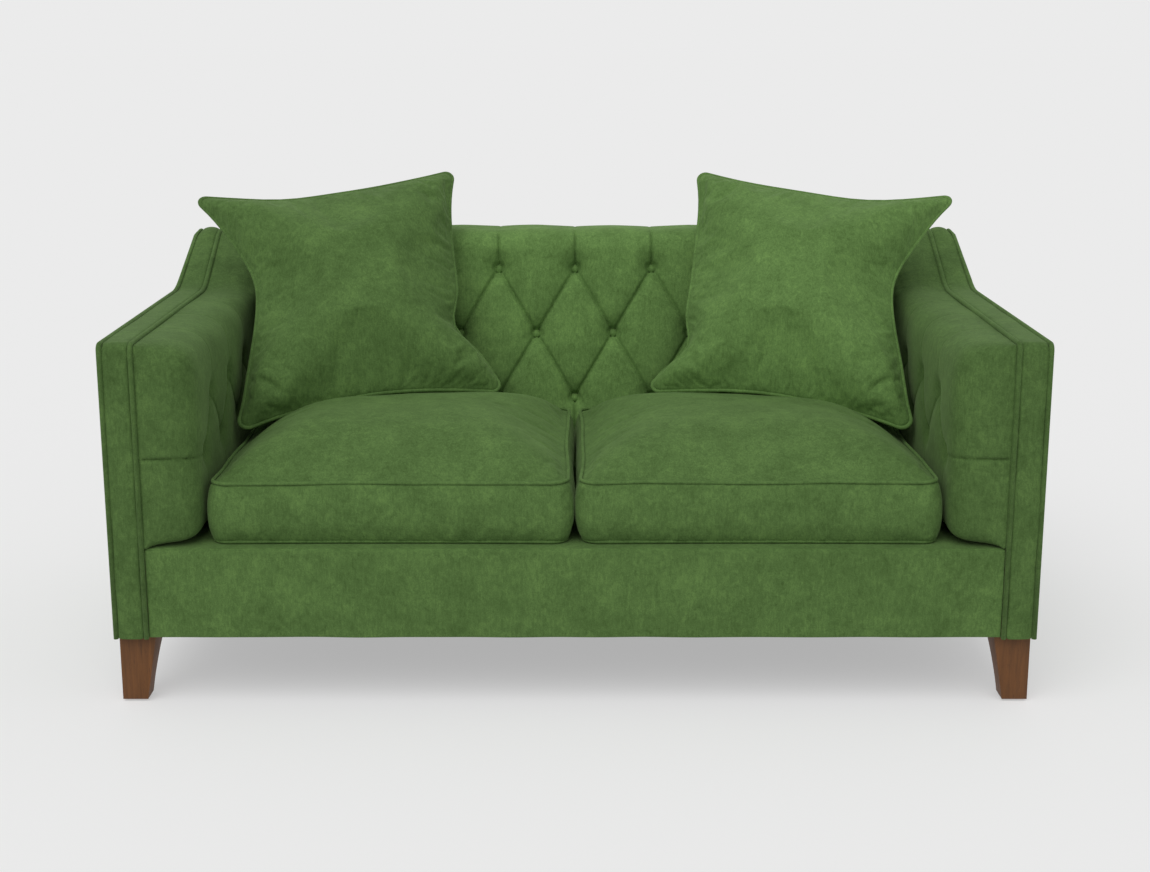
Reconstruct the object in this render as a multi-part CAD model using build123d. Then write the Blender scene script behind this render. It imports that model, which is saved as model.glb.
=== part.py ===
from build123d import *
from math import asin, cos, radians, sin, sqrt, tan
import os

# A two-seater sofa with swept arms, a deep-buttoned back and loose cushions.
# X runs along the sofa, Y from its front to its back and Z up. The origin is on the floor under the middle.
# All sizes are in millimetres.

# Overall
WIDTH = 1680.0  # over the outer arm piping
DEPTH = 920.0  # arm front to outside back
LEG_HEIGHT = 128.0  # floor to the underside of the base
DECK_HEIGHT = 296.0  # floor to the top of the seat platform
ARM_HEIGHT = 672.0  # floor to the level part of the arm
BACK_RISE = 110.0  # level part of the arm to the top of the back
GAP = 0.3  # between pieces that rest against each other

# Arm, seen from the side: a level top that bends up into the back
ARM_RISE_RUN = 273.0  # from the foot of the rise to the outside back
ARM_RISE_ANGLE = 26.5
ARM_FRONT_RADIUS = 14.0
ARM_BEND_RADIUS = 150.0
ARM_REAR_RADIUS = 60.0

# Covers
ARM_BORDER_WIDTH = 53.0  # boxed band between the two lines of piping
BORDER_THICKNESS = 12.0
FRONT_RECESS = 4.0  # front panel behind the arm fronts
ARM_COVER_THICKNESS = 4.0
BACK_COVER_THICKNESS = 6.0
DUST_COVER_THICKNESS = 2.0
PIPING_RADIUS = 4.0
PIPING_PROUD = 2.0  # how far the piping stands out of the covers

# Inside-arm pad and its tufts
ARM_PAD_THICKNESS = 108.0
ARM_PAD_INSET = 3.0  # pad edge below the band
ARM_PAD_ROUND = 40.0
ARM_SWELL = 13.0  # crown above the pleats
ARM_TUFT_PITCH = 166.0  # along the arm
ARM_TUFT_ROW_GAP = 100.0
ARM_TUFT_DROP = 221.0  # level part of the arm down to the lower row of buttons
ARM_TUFT_FIRST = 100.0  # first button behind the arm front
ARM_TUFT_COLUMNS = 4  # buttons in the lower row
ARM_PLEAT_HALF_WIDTH = 55.0  # pleat from the first button to the front

# Deep-buttoned back
BACK_BUILD = 284.0  # outside back to the crown of the inside back at deck height
BACK_RECLINE = 14.0
BACK_PAD_THICKNESS = 75.0
BACK_TOP_RADIUS = 58.0
BACK_SWELL = 30.0
BACK_TUFT_PITCH = 165.0
BACK_TUFT_ROW_GAP = 140.0
BACK_TUFT_DROP = 83.0  # top of the back down to the top row of buttons
BACK_TUFT_ROWS = 3

# Covered buttons
BUTTON_RADIUS = 9.0
BUTTON_EDGE = 2.5
BUTTON_DOME = 4.0
DIMPLE_DEPTH = 8.0  # button seat below the pleats
DIMPLE_FLARE = 16.0
DIMPLE_HEIGHT = 24.0

# Seat cushions
SEAT_RECESS = 28.0  # behind the arm fronts
SEAT_SIDE_GAP = 3.0
SEAT_CENTRE_GAP = 8.0
SEAT_REAR_GAP = 3.0
SEAT_BORDER = 110.0  # height of the boxed side
SEAT_BELLY = 6.0  # how far the boxed side swells
SEAT_CROWN = 80.0  # above the boxed side
SEAT_DRAW_IN = 5.0
SEAT_CORNER = 29.0
CORNER_LIMIT = 0.35  # largest share of a cushion section that its corners round off
SEAT_PIPING_RADIUS = 3.5
SEAT_PIPING_PROUD = 1.5
SEAT_LIFT_INSETS = (0.0, 52.0, 125.0, 215.0)  # crown sections, in from the edge
SEAT_LIFT_SHARES = (0.0, 0.52, 0.85, 1.0)  # and their share of the crown

# Scatter cushions, each leaning in the corner of an arm and the back
SCATTER_SIZE = 530.0  # corner to corner along a side
SCATTER_THICKNESS = 150.0
SCATTER_EDGE = 4.0  # thickness of the sewn edge
SCATTER_FOOT_DRAW_IN = 38.0
SCATTER_ARM_DRAW_IN = 68.0  # side that lies over the arm
SCATTER_TOP_DRAW_IN = 20.0
SCATTER_INNER_DRAW_IN = 46.0
SCATTER_CORNER = 14.0
SCATTER_PIPING_RADIUS = 3.5
SCATTER_YAW = 13.0
SCATTER_LEAN = 38.0
SCATTER_ROLL = 5.6
SCATTER_FROM_ARM = 211.0  # centre to the inside of the arm
SCATTER_FROM_BACK = 152.0  # centre to the crown of the back, level
SCATTER_RISE = 186.1  # centre above the crown of the seat
SCATTER_INSETS = (0.0, 42.0, 100.0, 175.0)
SCATTER_SHARES = (0.0, 0.5, 0.84, 1.0)

# Legs
LEG_TOP_WIDTH = 67.0
LEG_FOOT_WIDTH = 46.0
LEG_TOP_DEPTH = 90.0
LEG_FOOT_DEPTH = 45.0
LEG_SWEEP = 17.0  # hollow of the inner edge
LEG_RECESS = 18.0
LEG_PLATE_THICKNESS = 3.0
LEG_PLATE_MARGIN = 3.0  # plate inside the post's edges
BOLT_RADIUS = 5.0
BOLT_CLEARANCE = 0.1
BOLT_REACH = 45.0  # into the leg and into the post
BOLT_SETBACK = 30.0  # bolt behind the leg's straight face
GLIDE_RADIUS = 12.0
GLIDE_THICKNESS = 4.0

# Timber frame
RAIL_THICKNESS = 28.0
RAIL_HEIGHT = 100.0
POST_DEPTH = 70.0
ARM_RAIL_THICKNESS = 26.0
LINING_THICKNESS = 4.0
UPRIGHT_THICKNESS = 24.0
UPRIGHT_MARGIN = 13.0
TOP_RAIL_HEIGHT = 60.0
TOP_RAIL_DEPTH = 45.0
CORNER_BLOCK = 38.0

# Springing
PLATFORM_THICKNESS = 16.0
FELT_THICKNESS = 6.0
SPRING_WIRE = 4.0
SPRING_WIDTH = 56.0
SPRING_TURNS = 12
SPRING_SHOULDER = 10.0
SPRING_PITCH = 160.0
SPRING_COUNT = 8
CLIP_PLATE = 2.0
CLIP_LENGTH = 30.0
CLIP_DEPTH = 14.0
WEBBING_THICKNESS = 2.0
WEBBING_WIDTH = 50.0
WEBBING_COUNT = 4
WEBBING_PITCH = 90.0
WEBBING_LOW = 60.0  # first strap above the deck

# Planes that the pieces share
FRONT = -DEPTH / 2
REAR = DEPTH / 2
BASE = LEG_HEIGHT
FRAME_BOTTOM = BASE + DUST_COVER_THICKNESS
COVER_X = WIDTH / 2 - PIPING_PROUD
BORDER_X = COVER_X - ARM_COVER_THICKNESS
PAD_X = BORDER_X - ARM_BORDER_WIDTH
SEAT_X = PAD_X - ARM_PAD_THICKNESS
POST_X = BORDER_X - ARM_BORDER_WIDTH / 2
BACK_HEIGHT = ARM_HEIGHT + BACK_RISE
BACK_FOOT = DEPTH - BACK_BUILD  # arm front to the crown of the inside back at deck height
BACK_TUFT_TOP_ROW = BACK_HEIGHT - BACK_TUFT_DROP
ARM_TUFT_LOW_ROW = ARM_HEIGHT - ARM_TUFT_DROP
SLOPE = radians(ARM_RISE_ANGLE)
RECLINE = radians(BACK_RECLINE)
UP_BACK = Vector(0, sin(RECLINE), cos(RECLINE))
OUT_BACK = Vector(0, -cos(RECLINE), sin(RECLINE))
REAR_TOP = ARM_HEIGHT + ARM_RISE_RUN * tan(SLOPE)  # where the rise would meet the outside back
SEAM = REAR_TOP - ARM_REAR_RADIUS * (1 / cos(SLOPE) + tan(SLOPE))  # rear seam, where the rear curve starts
FRAME_Y = FRONT + BORDER_THICKNESS
BACK_FRAME_Y = REAR - BACK_COVER_THICKNESS
PLATFORM_BOTTOM = DECK_HEIGHT - PLATFORM_THICKNESS
FELT_BOTTOM = PLATFORM_BOTTOM - FELT_THICKNESS
SEAT_RAIL_TOP = FELT_BOTTOM - GAP - SPRING_WIRE - 2 * CLIP_PLATE - GAP
SEAT_CROWN_TOP = DECK_HEIGHT + GAP + SEAT_BORDER + SEAT_CROWN


def crown_y(z):
    """Depth of the back's crowns at height z."""
    return FRONT + BACK_FOOT + (z - DECK_HEIGHT) * tan(RECLINE)


def pad_rear_y(z):
    """Depth of the back pad's rear face at height z."""
    return crown_y(z) + BACK_PAD_THICKNESS / cos(RECLINE)


def frame_front_y(z):
    """Depth of the back frame's front edge at height z, behind the webbing."""
    return pad_rear_y(z) + WEBBING_THICKNESS / cos(RECLINE)


def block(x0, x1, y0, y1, z0, z1):
    """Box between two corners."""
    return Pos((x0 + x1) / 2, (y0 + y1) / 2, (z0 + z1) / 2) * Box(x1 - x0, y1 - y0, z1 - z0)


def span(y0, y1, z0, z1):
    """Rectangle in the side view."""
    return Pos((y0 + y1) / 2, (z0 + z1) / 2) * Rectangle(y1 - y0, z1 - z0)


def side_slab(face, x0, x1):
    """Side-view face carried from x0 to x1."""
    return extrude(Plane.YZ.offset(x0) * face, x1 - x0)


def arm_line(inset, front_radius=ARM_FRONT_RADIUS):
    """Arm outline from the front foot over the top to the rear foot, moved in by inset."""
    level = ARM_HEIGHT - inset
    bend = REAR - ARM_RISE_RUN + inset * tan(SLOPE / 2)
    rear_top = REAR_TOP - inset / cos(SLOPE) - inset * tan(SLOPE)
    return FilletPolyline(
        (FRONT + inset, BASE),
        (FRONT + inset, level),
        (bend, level),
        (REAR - inset, rear_top),
        (REAR - inset, BASE),
        radius=[max(front_radius - inset, 0), ARM_BEND_RADIUS + inset, max(ARM_REAR_RADIUS - inset, 0)],
    )


def arm_face(inset, front_radius=ARM_FRONT_RADIUS):
    """Closed arm outline, moved in by inset."""
    line = arm_line(inset, front_radius)
    return make_face(line + Line(line @ 1, line @ 0))


def tube(path, radius):
    """Round cord along a path."""
    return sweep(Plane(origin=path @ 0, z_dir=path % 0) * Circle(radius), path)


def ridges(cusps, start, end, pitch, swell, depth):
    """Section of padded ridges: pleats at height 0, crowns at swell, flat beyond the outer pleats."""
    half = pitch / 2
    radius = (half**2 + swell**2) / (2 * swell)
    shoulder = swell - radius + sqrt(radius**2 - (half / 2) ** 2)
    first, last = cusps[0], cusps[-1]
    edges = [
        Line((start, -depth), (start, swell)),
        Line((start, swell), (first - half, swell)),
        ThreePointArc((first - half, swell), (first - half / 2, shoulder), (first, 0)),
    ]
    for left, right in zip(cusps, cusps[1:]):
        edges.append(ThreePointArc((left, 0), ((left + right) / 2, swell), (right, 0)))
    edges += [
        ThreePointArc((last, 0), (last + half / 2, shoulder), (last + half, swell)),
        Line((last + half, swell), (end, swell)),
        Line((end, swell), (end, -depth)),
        Line((end, -depth), (start, -depth)),
    ]
    return make_face(edges)


def run_along(plane, face, shift, rise):
    """Face on a plane, carried by rise along the plane's normal and by shift across it."""
    way = plane.x_dir * shift + plane.z_dir * rise
    return extrude(plane * face, way.length, dir=way.normalized())


def dimple(seat):
    """Hollow in which a button is drawn down; seat is its plane at the pleats."""
    cone = Cone(BUTTON_RADIUS + GAP, BUTTON_RADIUS + DIMPLE_FLARE, DIMPLE_HEIGHT + DIMPLE_DEPTH,
                align=(Align.CENTER, Align.CENTER, Align.MIN))
    return seat.offset(-DIMPLE_DEPTH) * cone


def button(seat):
    """Covered button with a domed face, seated in its dimple."""
    sphere = (BUTTON_RADIUS**2 + BUTTON_DOME**2) / (2 * BUTTON_DOME)
    turn = asin(BUTTON_RADIUS / sphere) / 2
    top = BUTTON_EDGE + BUTTON_DOME
    section = make_face([
        Line((0, 0), (BUTTON_RADIUS, 0)),
        Line((BUTTON_RADIUS, 0), (BUTTON_RADIUS, BUTTON_EDGE)),
        ThreePointArc((BUTTON_RADIUS, BUTTON_EDGE), (sphere * sin(turn), top - sphere * (1 - cos(turn))), (0, top)),
        Line((0, top), (0, 0)),
    ])
    return seat.offset(-DIMPLE_DEPTH) * revolve(Plane.XZ * section, Axis.Z)


def pillow_face(width, depth, draws, corner):
    """Outline of a cushion whose sides are drawn in; draws are front, right, rear and left."""
    x, y = width / 2, depth / 2
    sides = [
        ThreePointArc((-x, -y), (0, draws[0] - y), (x, -y)),
        ThreePointArc((x, -y), (x - draws[1], 0), (x, y)),
        ThreePointArc((x, y), (0, y - draws[2]), (-x, y)),
        ThreePointArc((-x, y), (draws[3] - x, 0), (-x, -y)),
    ]
    face = make_face(sides)
    return fillet(face.vertices(), min(corner, CORNER_LIMIT * min(width, depth)))


def both_sides(name, right):
    """A piece of the right-hand side and its mirror image."""
    return {f"{name}_right": right, f"{name}_left": mirror(right, about=Plane.YZ)}


def four_corners(shape):
    """A front right piece at all four corners."""
    front = shape + mirror(shape, about=Plane.YZ)
    return front + mirror(front, about=Plane.XZ)


def front_legs():
    """Front right leg: straight outside, tapered inside, hollow behind."""
    face_y = FRONT + LEG_RECESS
    middle = (LEG_HEIGHT + GLIDE_THICKNESS) / 2
    front_view = make_face(Polyline(
        (BORDER_X, GLIDE_THICKNESS), (BORDER_X, LEG_HEIGHT), (BORDER_X - LEG_TOP_WIDTH, LEG_HEIGHT),
        (BORDER_X - LEG_FOOT_WIDTH, GLIDE_THICKNESS), close=True))
    hollow = ThreePointArc(
        (face_y + LEG_FOOT_DEPTH, GLIDE_THICKNESS),
        (face_y + (LEG_FOOT_DEPTH + LEG_TOP_DEPTH) / 2 - LEG_SWEEP, middle),
        (face_y + LEG_TOP_DEPTH, LEG_HEIGHT))
    side_view = make_face([
        hollow,
        Line((face_y + LEG_TOP_DEPTH, LEG_HEIGHT), (face_y, LEG_HEIGHT)),
        Line((face_y, LEG_HEIGHT), (face_y, GLIDE_THICKNESS)),
        Line((face_y, GLIDE_THICKNESS), (face_y + LEG_FOOT_DEPTH, GLIDE_THICKNESS)),
    ])
    return extrude(Plane.XZ * front_view, DEPTH, both=True) & side_slab(side_view, 0, WIDTH)


def bolt_at(radius, z0, z1):
    """Upright rod at the front right leg."""
    rod = Cylinder(radius, z1 - z0, align=(Align.CENTER, Align.CENTER, Align.MIN))
    return Pos(POST_X, FRONT + LEG_RECESS + BOLT_SETBACK, z0) * rod


def make_legs():
    """Legs with their glides, plates and bolts."""
    bolt = bolt_at(BOLT_RADIUS, LEG_HEIGHT - BOLT_REACH, FRAME_BOTTOM + LEG_PLATE_THICKNESS + BOLT_REACH)
    hole = bolt_at(BOLT_RADIUS + BOLT_CLEARANCE, LEG_HEIGHT - BOLT_REACH,
                   FRAME_BOTTOM + LEG_PLATE_THICKNESS + BOLT_REACH)
    leg = front_legs() - hole
    foot_x = BORDER_X - LEG_FOOT_WIDTH / 2
    foot_y = FRONT + LEG_RECESS + LEG_FOOT_DEPTH / 2
    glide = Pos(foot_x, foot_y, 0) * Cylinder(
        GLIDE_RADIUS, GLIDE_THICKNESS, align=(Align.CENTER, Align.CENTER, Align.MIN))
    plate_size = ARM_BORDER_WIDTH - 2 * LEG_PLATE_MARGIN
    plate = Box(plate_size, plate_size, LEG_PLATE_THICKNESS, align=(Align.CENTER, Align.CENTER, Align.MIN))
    plate = Pos(POST_X, FRONT + LEG_RECESS + BOLT_SETBACK, FRAME_BOTTOM) * plate - hole
    pieces = both_sides("leg_front", leg)
    pieces |= both_sides("leg_rear", mirror(leg, about=Plane.XZ))
    pieces["leg_glides"] = four_corners(glide)
    pieces["leg_bolts"] = four_corners(bolt)
    pieces["leg_plates"] = four_corners(plate)
    return pieces, four_corners(hole)


def make_base_frame():
    """Rails of the seat, with glue blocks in the corners."""
    top = SEAT_RAIL_TOP
    rail_rear = FRAME_Y + RAIL_THICKNESS
    seat_rear = frame_front_y(DECK_HEIGHT)
    side_start = FRAME_Y + GAP + POST_DEPTH
    side_end = BACK_FRAME_Y - POST_DEPTH
    corner = make_face(Polyline((0, 0), (-CORNER_BLOCK, 0), (0, CORNER_BLOCK), close=True))
    wedge = extrude(corner, RAIL_HEIGHT)
    front_wedge = Pos(PAD_X, rail_rear, FRAME_BOTTOM) * wedge
    rear_wedge = Pos(PAD_X, BACK_FRAME_Y - RAIL_THICKNESS, FRAME_BOTTOM) * mirror(wedge, about=Plane.XZ)
    wedges = front_wedge + rear_wedge
    pieces = {
        "front_rail": block(-PAD_X, PAD_X, FRAME_Y, rail_rear, FRAME_BOTTOM, top),
        "seat_rear_rail": block(-PAD_X, PAD_X, seat_rear - RAIL_THICKNESS, seat_rear, FRAME_BOTTOM, top),
        "base_rear_rail": block(-PAD_X, PAD_X, BACK_FRAME_Y - RAIL_THICKNESS, BACK_FRAME_Y,
                                FRAME_BOTTOM, FRAME_BOTTOM + RAIL_HEIGHT),
        "centre_rail": block(-RAIL_THICKNESS / 2, RAIL_THICKNESS / 2, rail_rear, seat_rear - RAIL_THICKNESS,
                             FRAME_BOTTOM, FRAME_BOTTOM + RAIL_HEIGHT),
        "corner_blocks": wedges + mirror(wedges, about=Plane.YZ),
    }
    pieces |= both_sides("side_rail", block(PAD_X, PAD_X + RAIL_THICKNESS, side_start, side_end,
                                            FRAME_BOTTOM, FRAME_BOTTOM + RAIL_HEIGHT))
    return pieces


def make_arm_frames(bolt_holes):
    """Posts, swept top rail and lining of each arm."""
    outer = BORDER_THICKNESS + GAP
    inner = outer + ARM_RAIL_THICKNESS
    under = ARM_HEIGHT - inner
    bottom = FRAME_BOTTOM + LEG_PLATE_THICKNESS
    front_start = FRAME_Y + GAP
    rear_start = BACK_FRAME_Y - POST_DEPTH
    ring = arm_face(outer) - arm_face(inner)
    rail = ring - span(FRONT, REAR, BASE - DEPTH, under) - span(rear_start, REAR, BASE, SEAM)
    opening = span(front_start + POST_DEPTH, rear_start, FRAME_BOTTOM + RAIL_HEIGHT, BACK_HEIGHT)
    lining = arm_face(inner + GAP) & opening
    front_post = side_slab(span(front_start, front_start + POST_DEPTH, bottom, under), PAD_X, BORDER_X)
    rear_post = side_slab(span(rear_start, BACK_FRAME_Y, bottom, SEAM), PAD_X, BORDER_X)
    pieces = both_sides("arm_front_post", front_post - bolt_holes)
    pieces |= both_sides("arm_rear_post", rear_post - bolt_holes)
    pieces |= both_sides("arm_top_rail", side_slab(rail, PAD_X, BORDER_X))
    pieces |= both_sides("arm_lining", side_slab(lining, PAD_X, PAD_X + LINING_THICKNESS))
    return pieces


def make_back_frame():
    """Wedge-shaped uprights notched over the rails, top rail and webbing."""
    low = SEAM - TOP_RAIL_HEIGHT
    rail_face = make_face(Polyline(
        (frame_front_y(low), low), (frame_front_y(low) + TOP_RAIL_DEPTH, low),
        (frame_front_y(SEAM) + TOP_RAIL_DEPTH, SEAM), (frame_front_y(SEAM), SEAM), close=True))
    seat_rear = frame_front_y(DECK_HEIGHT)
    upright_face = make_face(Polyline(
        (seat_rear, FRAME_BOTTOM), (BACK_FRAME_Y, FRAME_BOTTOM), (BACK_FRAME_Y, SEAM),
        (frame_front_y(SEAM), SEAM), (seat_rear, DECK_HEIGHT), close=True))
    base_notch = span(BACK_FRAME_Y - RAIL_THICKNESS, BACK_FRAME_Y, BASE, FRAME_BOTTOM + RAIL_HEIGHT)
    upright_face = upright_face - rail_face - base_notch
    side_x = SEAT_X - UPRIGHT_MARGIN - UPRIGHT_THICKNESS
    strap_plane = Plane(origin=(0, pad_rear_y(DECK_HEIGHT), DECK_HEIGHT), x_dir=(1, 0, 0), z_dir=OUT_BACK)
    straps = [
        strap_plane * Pos(0, WEBBING_LOW + i * WEBBING_PITCH, 0) * Box(
            2 * (side_x + UPRIGHT_THICKNESS), WEBBING_WIDTH, WEBBING_THICKNESS,
            align=(Align.CENTER, Align.CENTER, Align.MAX))
        for i in range(WEBBING_COUNT)
    ]
    pieces = both_sides("back_upright", side_slab(upright_face, side_x, side_x + UPRIGHT_THICKNESS))
    pieces["back_upright_centre"] = side_slab(upright_face, -UPRIGHT_THICKNESS / 2, UPRIGHT_THICKNESS / 2)
    pieces["back_top_rail"] = side_slab(rail_face, -PAD_X, PAD_X)
    pieces["back_webbing"] = Compound(children=straps)
    return pieces


def make_springing(front_piping):
    """Zigzag springs in their clips, with the felt and the covered platform above them."""
    rear = frame_front_y(DECK_HEIGHT)
    wire_z = SEAT_RAIL_TOP + CLIP_PLATE + GAP / 2
    start = FRAME_Y + RAIL_THICKNESS / 2
    end = rear - RAIL_THICKNESS / 2
    step = (end - start) / SPRING_TURNS
    points = [(0, start), (SPRING_WIDTH / 2 - SPRING_SHOULDER, start)]
    for i in range(SPRING_TURNS):
        side = SPRING_WIDTH / 2 * (-1) ** i
        inner = side - SPRING_SHOULDER * (-1) ** i
        y = start + i * step
        points += [(side, y + SPRING_SHOULDER), (side, y + step - SPRING_SHOULDER), (inner, y + step)]
    points.append((0, end))
    path = Polyline(*points)
    section = Plane(origin=path @ 0, z_dir=path % 0) * Rectangle(SPRING_WIRE, SPRING_WIRE)
    spring = Pos(0, 0, wire_z + SPRING_WIRE / 2) * sweep(section, path, transition=Transition.RIGHT)
    slot = SPRING_WIRE + GAP
    c_face = span(0, CLIP_DEPTH, 0, slot + 2 * CLIP_PLATE) - span(
        CLIP_PLATE, CLIP_DEPTH, CLIP_PLATE, CLIP_PLATE + slot)
    clip = Pos(0, start - CLIP_DEPTH / 2, SEAT_RAIL_TOP) * side_slab(c_face, 0, CLIP_LENGTH)
    clip = Pos(-CLIP_LENGTH / 2, 0, 0) * clip
    rear_clip = Pos(0, start + end, 0) * mirror(clip, about=Plane.XZ)
    places = [(i - (SPRING_COUNT - 1) / 2) * SPRING_PITCH for i in range(SPRING_COUNT)]
    platform = block(-PAD_X, PAD_X, FRONT + FRONT_RECESS, rear, PLATFORM_BOTTOM, DECK_HEIGHT)
    return {
        "seat_springs": Compound(children=[Pos(x, 0, 0) * spring for x in places]),
        "spring_clips": Compound(children=[Pos(x, 0, 0) * c for x in places for c in (clip, rear_clip)]),
        "seat_felt": block(-PAD_X, PAD_X, FRAME_Y, rear, FELT_BOTTOM, PLATFORM_BOTTOM),
        "seat_platform": platform - front_piping,
    }


def piping_path(x):
    """Line of an arm's piping at x."""
    return Plane.YZ.offset(x) * arm_line(PIPING_RADIUS - PIPING_PROUD)


def make_arm_covers(bolt_holes):
    """Bands, outer panels and piping of the arms, front panel, outside back and dust cover."""
    outer_x = COVER_X - PIPING_RADIUS + PIPING_PROUD
    outer_piping = tube(piping_path(outer_x), PIPING_RADIUS)
    outer_groove = tube(piping_path(outer_x), PIPING_RADIUS + GAP)
    below_seam = block(0, WIDTH, REAR - ARM_REAR_RADIUS, DEPTH, 0, SEAM)
    inner_piping = tube(piping_path(PAD_X), PIPING_RADIUS) - below_seam
    inner_groove = tube(piping_path(PAD_X), PIPING_RADIUS + GAP) - below_seam
    grooves = outer_groove + inner_groove
    grooves = grooves + mirror(grooves, about=Plane.YZ)
    band_face = arm_face(0) - arm_face(BORDER_THICKNESS)
    band_face = band_face - span(FRAME_Y, REAR, BASE - DEPTH, ARM_HEIGHT - BORDER_THICKNESS)
    band_face = band_face - span(REAR - ARM_REAR_RADIUS, REAR, BASE, SEAM)
    band = side_slab(band_face, PAD_X, BORDER_X) - grooves
    cover = side_slab(arm_face(0), BORDER_X, COVER_X) - grooves
    front_panel = block(-PAD_X, PAD_X, FRONT + FRONT_RECESS, FRAME_Y, BASE, PLATFORM_BOTTOM) - grooves
    outside_back = block(-BORDER_X, BORDER_X, BACK_FRAME_Y, REAR, BASE, SEAM) - grooves
    dust_cover = block(-BORDER_X, BORDER_X, FRAME_Y, BACK_FRAME_Y, BASE, FRAME_BOTTOM) - bolt_holes
    pieces = both_sides("arm_border", band)
    pieces |= both_sides("arm_outer_cover", cover)
    pieces |= both_sides("arm_outer_piping", outer_piping)
    pieces |= both_sides("arm_inner_piping", inner_piping)
    pieces |= {"front_border": front_panel, "outside_back": outside_back, "dust_cover": dust_cover}
    return pieces, grooves


def make_arm_pads(grooves):
    """Diamond-tufted inside-arm pads with their buttons."""
    behind_back = make_face(Polyline(
        (pad_rear_y(BASE), BASE), (DEPTH, BASE), (DEPTH, SEAM), (pad_rear_y(SEAM), SEAM), close=True))
    face = arm_face(ARM_PAD_INSET, 0) - span(FRONT, REAR, BASE - DEPTH, DECK_HEIGHT) - behind_back
    pad = side_slab(face, SEAT_X, PAD_X)
    rim = pad.edges().group_by(Axis.X)[0].sort_by_distance((SEAT_X, FRONT, ARM_HEIGHT))[:2]
    pad = fillet(rim, ARM_PAD_ROUND)
    low = Plane(origin=(SEAT_X + ARM_SWELL, FRONT, ARM_TUFT_LOW_ROW), x_dir=(0, 1, 0), z_dir=(0, 0, 1))
    high = low.offset(ARM_TUFT_ROW_GAP)
    half = ARM_TUFT_PITCH / 2
    low_row = [ARM_TUFT_FIRST + i * ARM_TUFT_PITCH for i in range(ARM_TUFT_COLUMNS)]
    high_row = [u + half for u in low_row[:-1]]
    reach = (-DEPTH, 2 * DEPTH, ARM_TUFT_PITCH, ARM_SWELL, ARM_PAD_THICKNESS)
    rising = run_along(low, ridges(low_row[:-1], *reach), half, ARM_TUFT_ROW_GAP)
    falling = run_along(low, ridges(low_row[1:], *reach), -half, ARM_TUFT_ROW_GAP)
    below = run_along(low, ridges(low_row, *reach), 0, -ARM_HEIGHT)
    above = run_along(high, ridges(high_row, *reach), 0, ARM_HEIGHT)
    pad = pad & (above + (rising & falling) + below)
    front_pleat = Plane(origin=low.origin, x_dir=(0, 0, 1), z_dir=(0, -1, 0))
    block_face = span(-ARM_PLEAT_HALF_WIDTH, ARM_PLEAT_HALF_WIDTH, -ARM_SWELL, ARM_SWELL + GAP)
    pleat = block_face - ridges(
        [0], -ARM_HEIGHT, ARM_HEIGHT, 2 * ARM_PLEAT_HALF_WIDTH, ARM_SWELL, ARM_PAD_THICKNESS)
    pad = pad - extrude(front_pleat * pleat, ARM_TUFT_FIRST, both=True, dir=(0, 1, 0))
    seats = [low * Pos(u, 0, 0) for u in low_row] + [high * Pos(u, 0, 0) for u in high_row]
    seats = [Plane(origin=place.position, x_dir=(0, 1, 0), z_dir=(-1, 0, 0)) for place in seats]
    for seat in seats:
        pad = pad - dimple(seat)
    pieces = both_sides("arm_pad", pad - grooves)
    pieces |= both_sides("arm_buttons", Compound(children=[button(seat) for seat in seats]))
    return pieces


def make_back_pad():
    """Deep-buttoned inside back that rolls over the top, with its buttons."""
    half_width = SEAT_X - GAP
    outline = FilletPolyline(
        (crown_y(DECK_HEIGHT), DECK_HEIGHT), (crown_y(BACK_HEIGHT), BACK_HEIGHT), (REAR, BACK_HEIGHT),
        (REAR, SEAM), radius=[BACK_TOP_RADIUS, BACK_TOP_RADIUS])
    inside = Polyline(
        (REAR, SEAM), (pad_rear_y(SEAM), SEAM), (pad_rear_y(DECK_HEIGHT), DECK_HEIGHT),
        (crown_y(DECK_HEIGHT), DECK_HEIGHT))
    pad = side_slab(make_face(outline + inside), -half_width, half_width)
    top_y = crown_y(BACK_TUFT_TOP_ROW) + BACK_SWELL / cos(RECLINE)
    top = Plane(origin=(0, top_y, BACK_TUFT_TOP_ROW), x_dir=(-1, 0, 0), z_dir=UP_BACK)
    drop = BACK_TUFT_ROW_GAP * (BACK_TUFT_ROWS - 1)
    bottom = top.offset(-drop)
    shift = BACK_TUFT_PITCH / 2
    reach_count = int(half_width / BACK_TUFT_PITCH) + BACK_TUFT_ROWS
    end_shift = shift * ((BACK_TUFT_ROWS - 1) % 2)
    cusps = [i * BACK_TUFT_PITCH for i in range(-reach_count, reach_count + 1)]
    low_cusps = [u + end_shift for u in cusps]
    reach = (-WIDTH, WIDTH, BACK_TUFT_PITCH, BACK_SWELL, DEPTH)
    rising = run_along(top, ridges(cusps, *reach), shift * (BACK_TUFT_ROWS - 1), -drop)
    falling = run_along(top, ridges(cusps, *reach), -shift * (BACK_TUFT_ROWS - 1), -drop)
    above = run_along(top, ridges(cusps, *reach), 0, BACK_HEIGHT)
    below = run_along(bottom, ridges(low_cusps, *reach), 0, -BACK_HEIGHT)
    pad = pad & (above + (rising & falling) + below)
    seats = []
    for row in range(BACK_TUFT_ROWS):
        offset = shift * (row % 2)
        for u in cusps:
            if abs(u + offset) < half_width - shift / 2:
                place = top.offset(-row * BACK_TUFT_ROW_GAP) * Pos(u + offset, 0, 0)
                seats.append(Plane(origin=place.position, x_dir=(1, 0, 0), z_dir=OUT_BACK))
    for seat in seats:
        pad = pad - dimple(seat)
    return {"back_pad": pad, "back_buttons": Compound(children=[button(seat) for seat in seats])}


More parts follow.
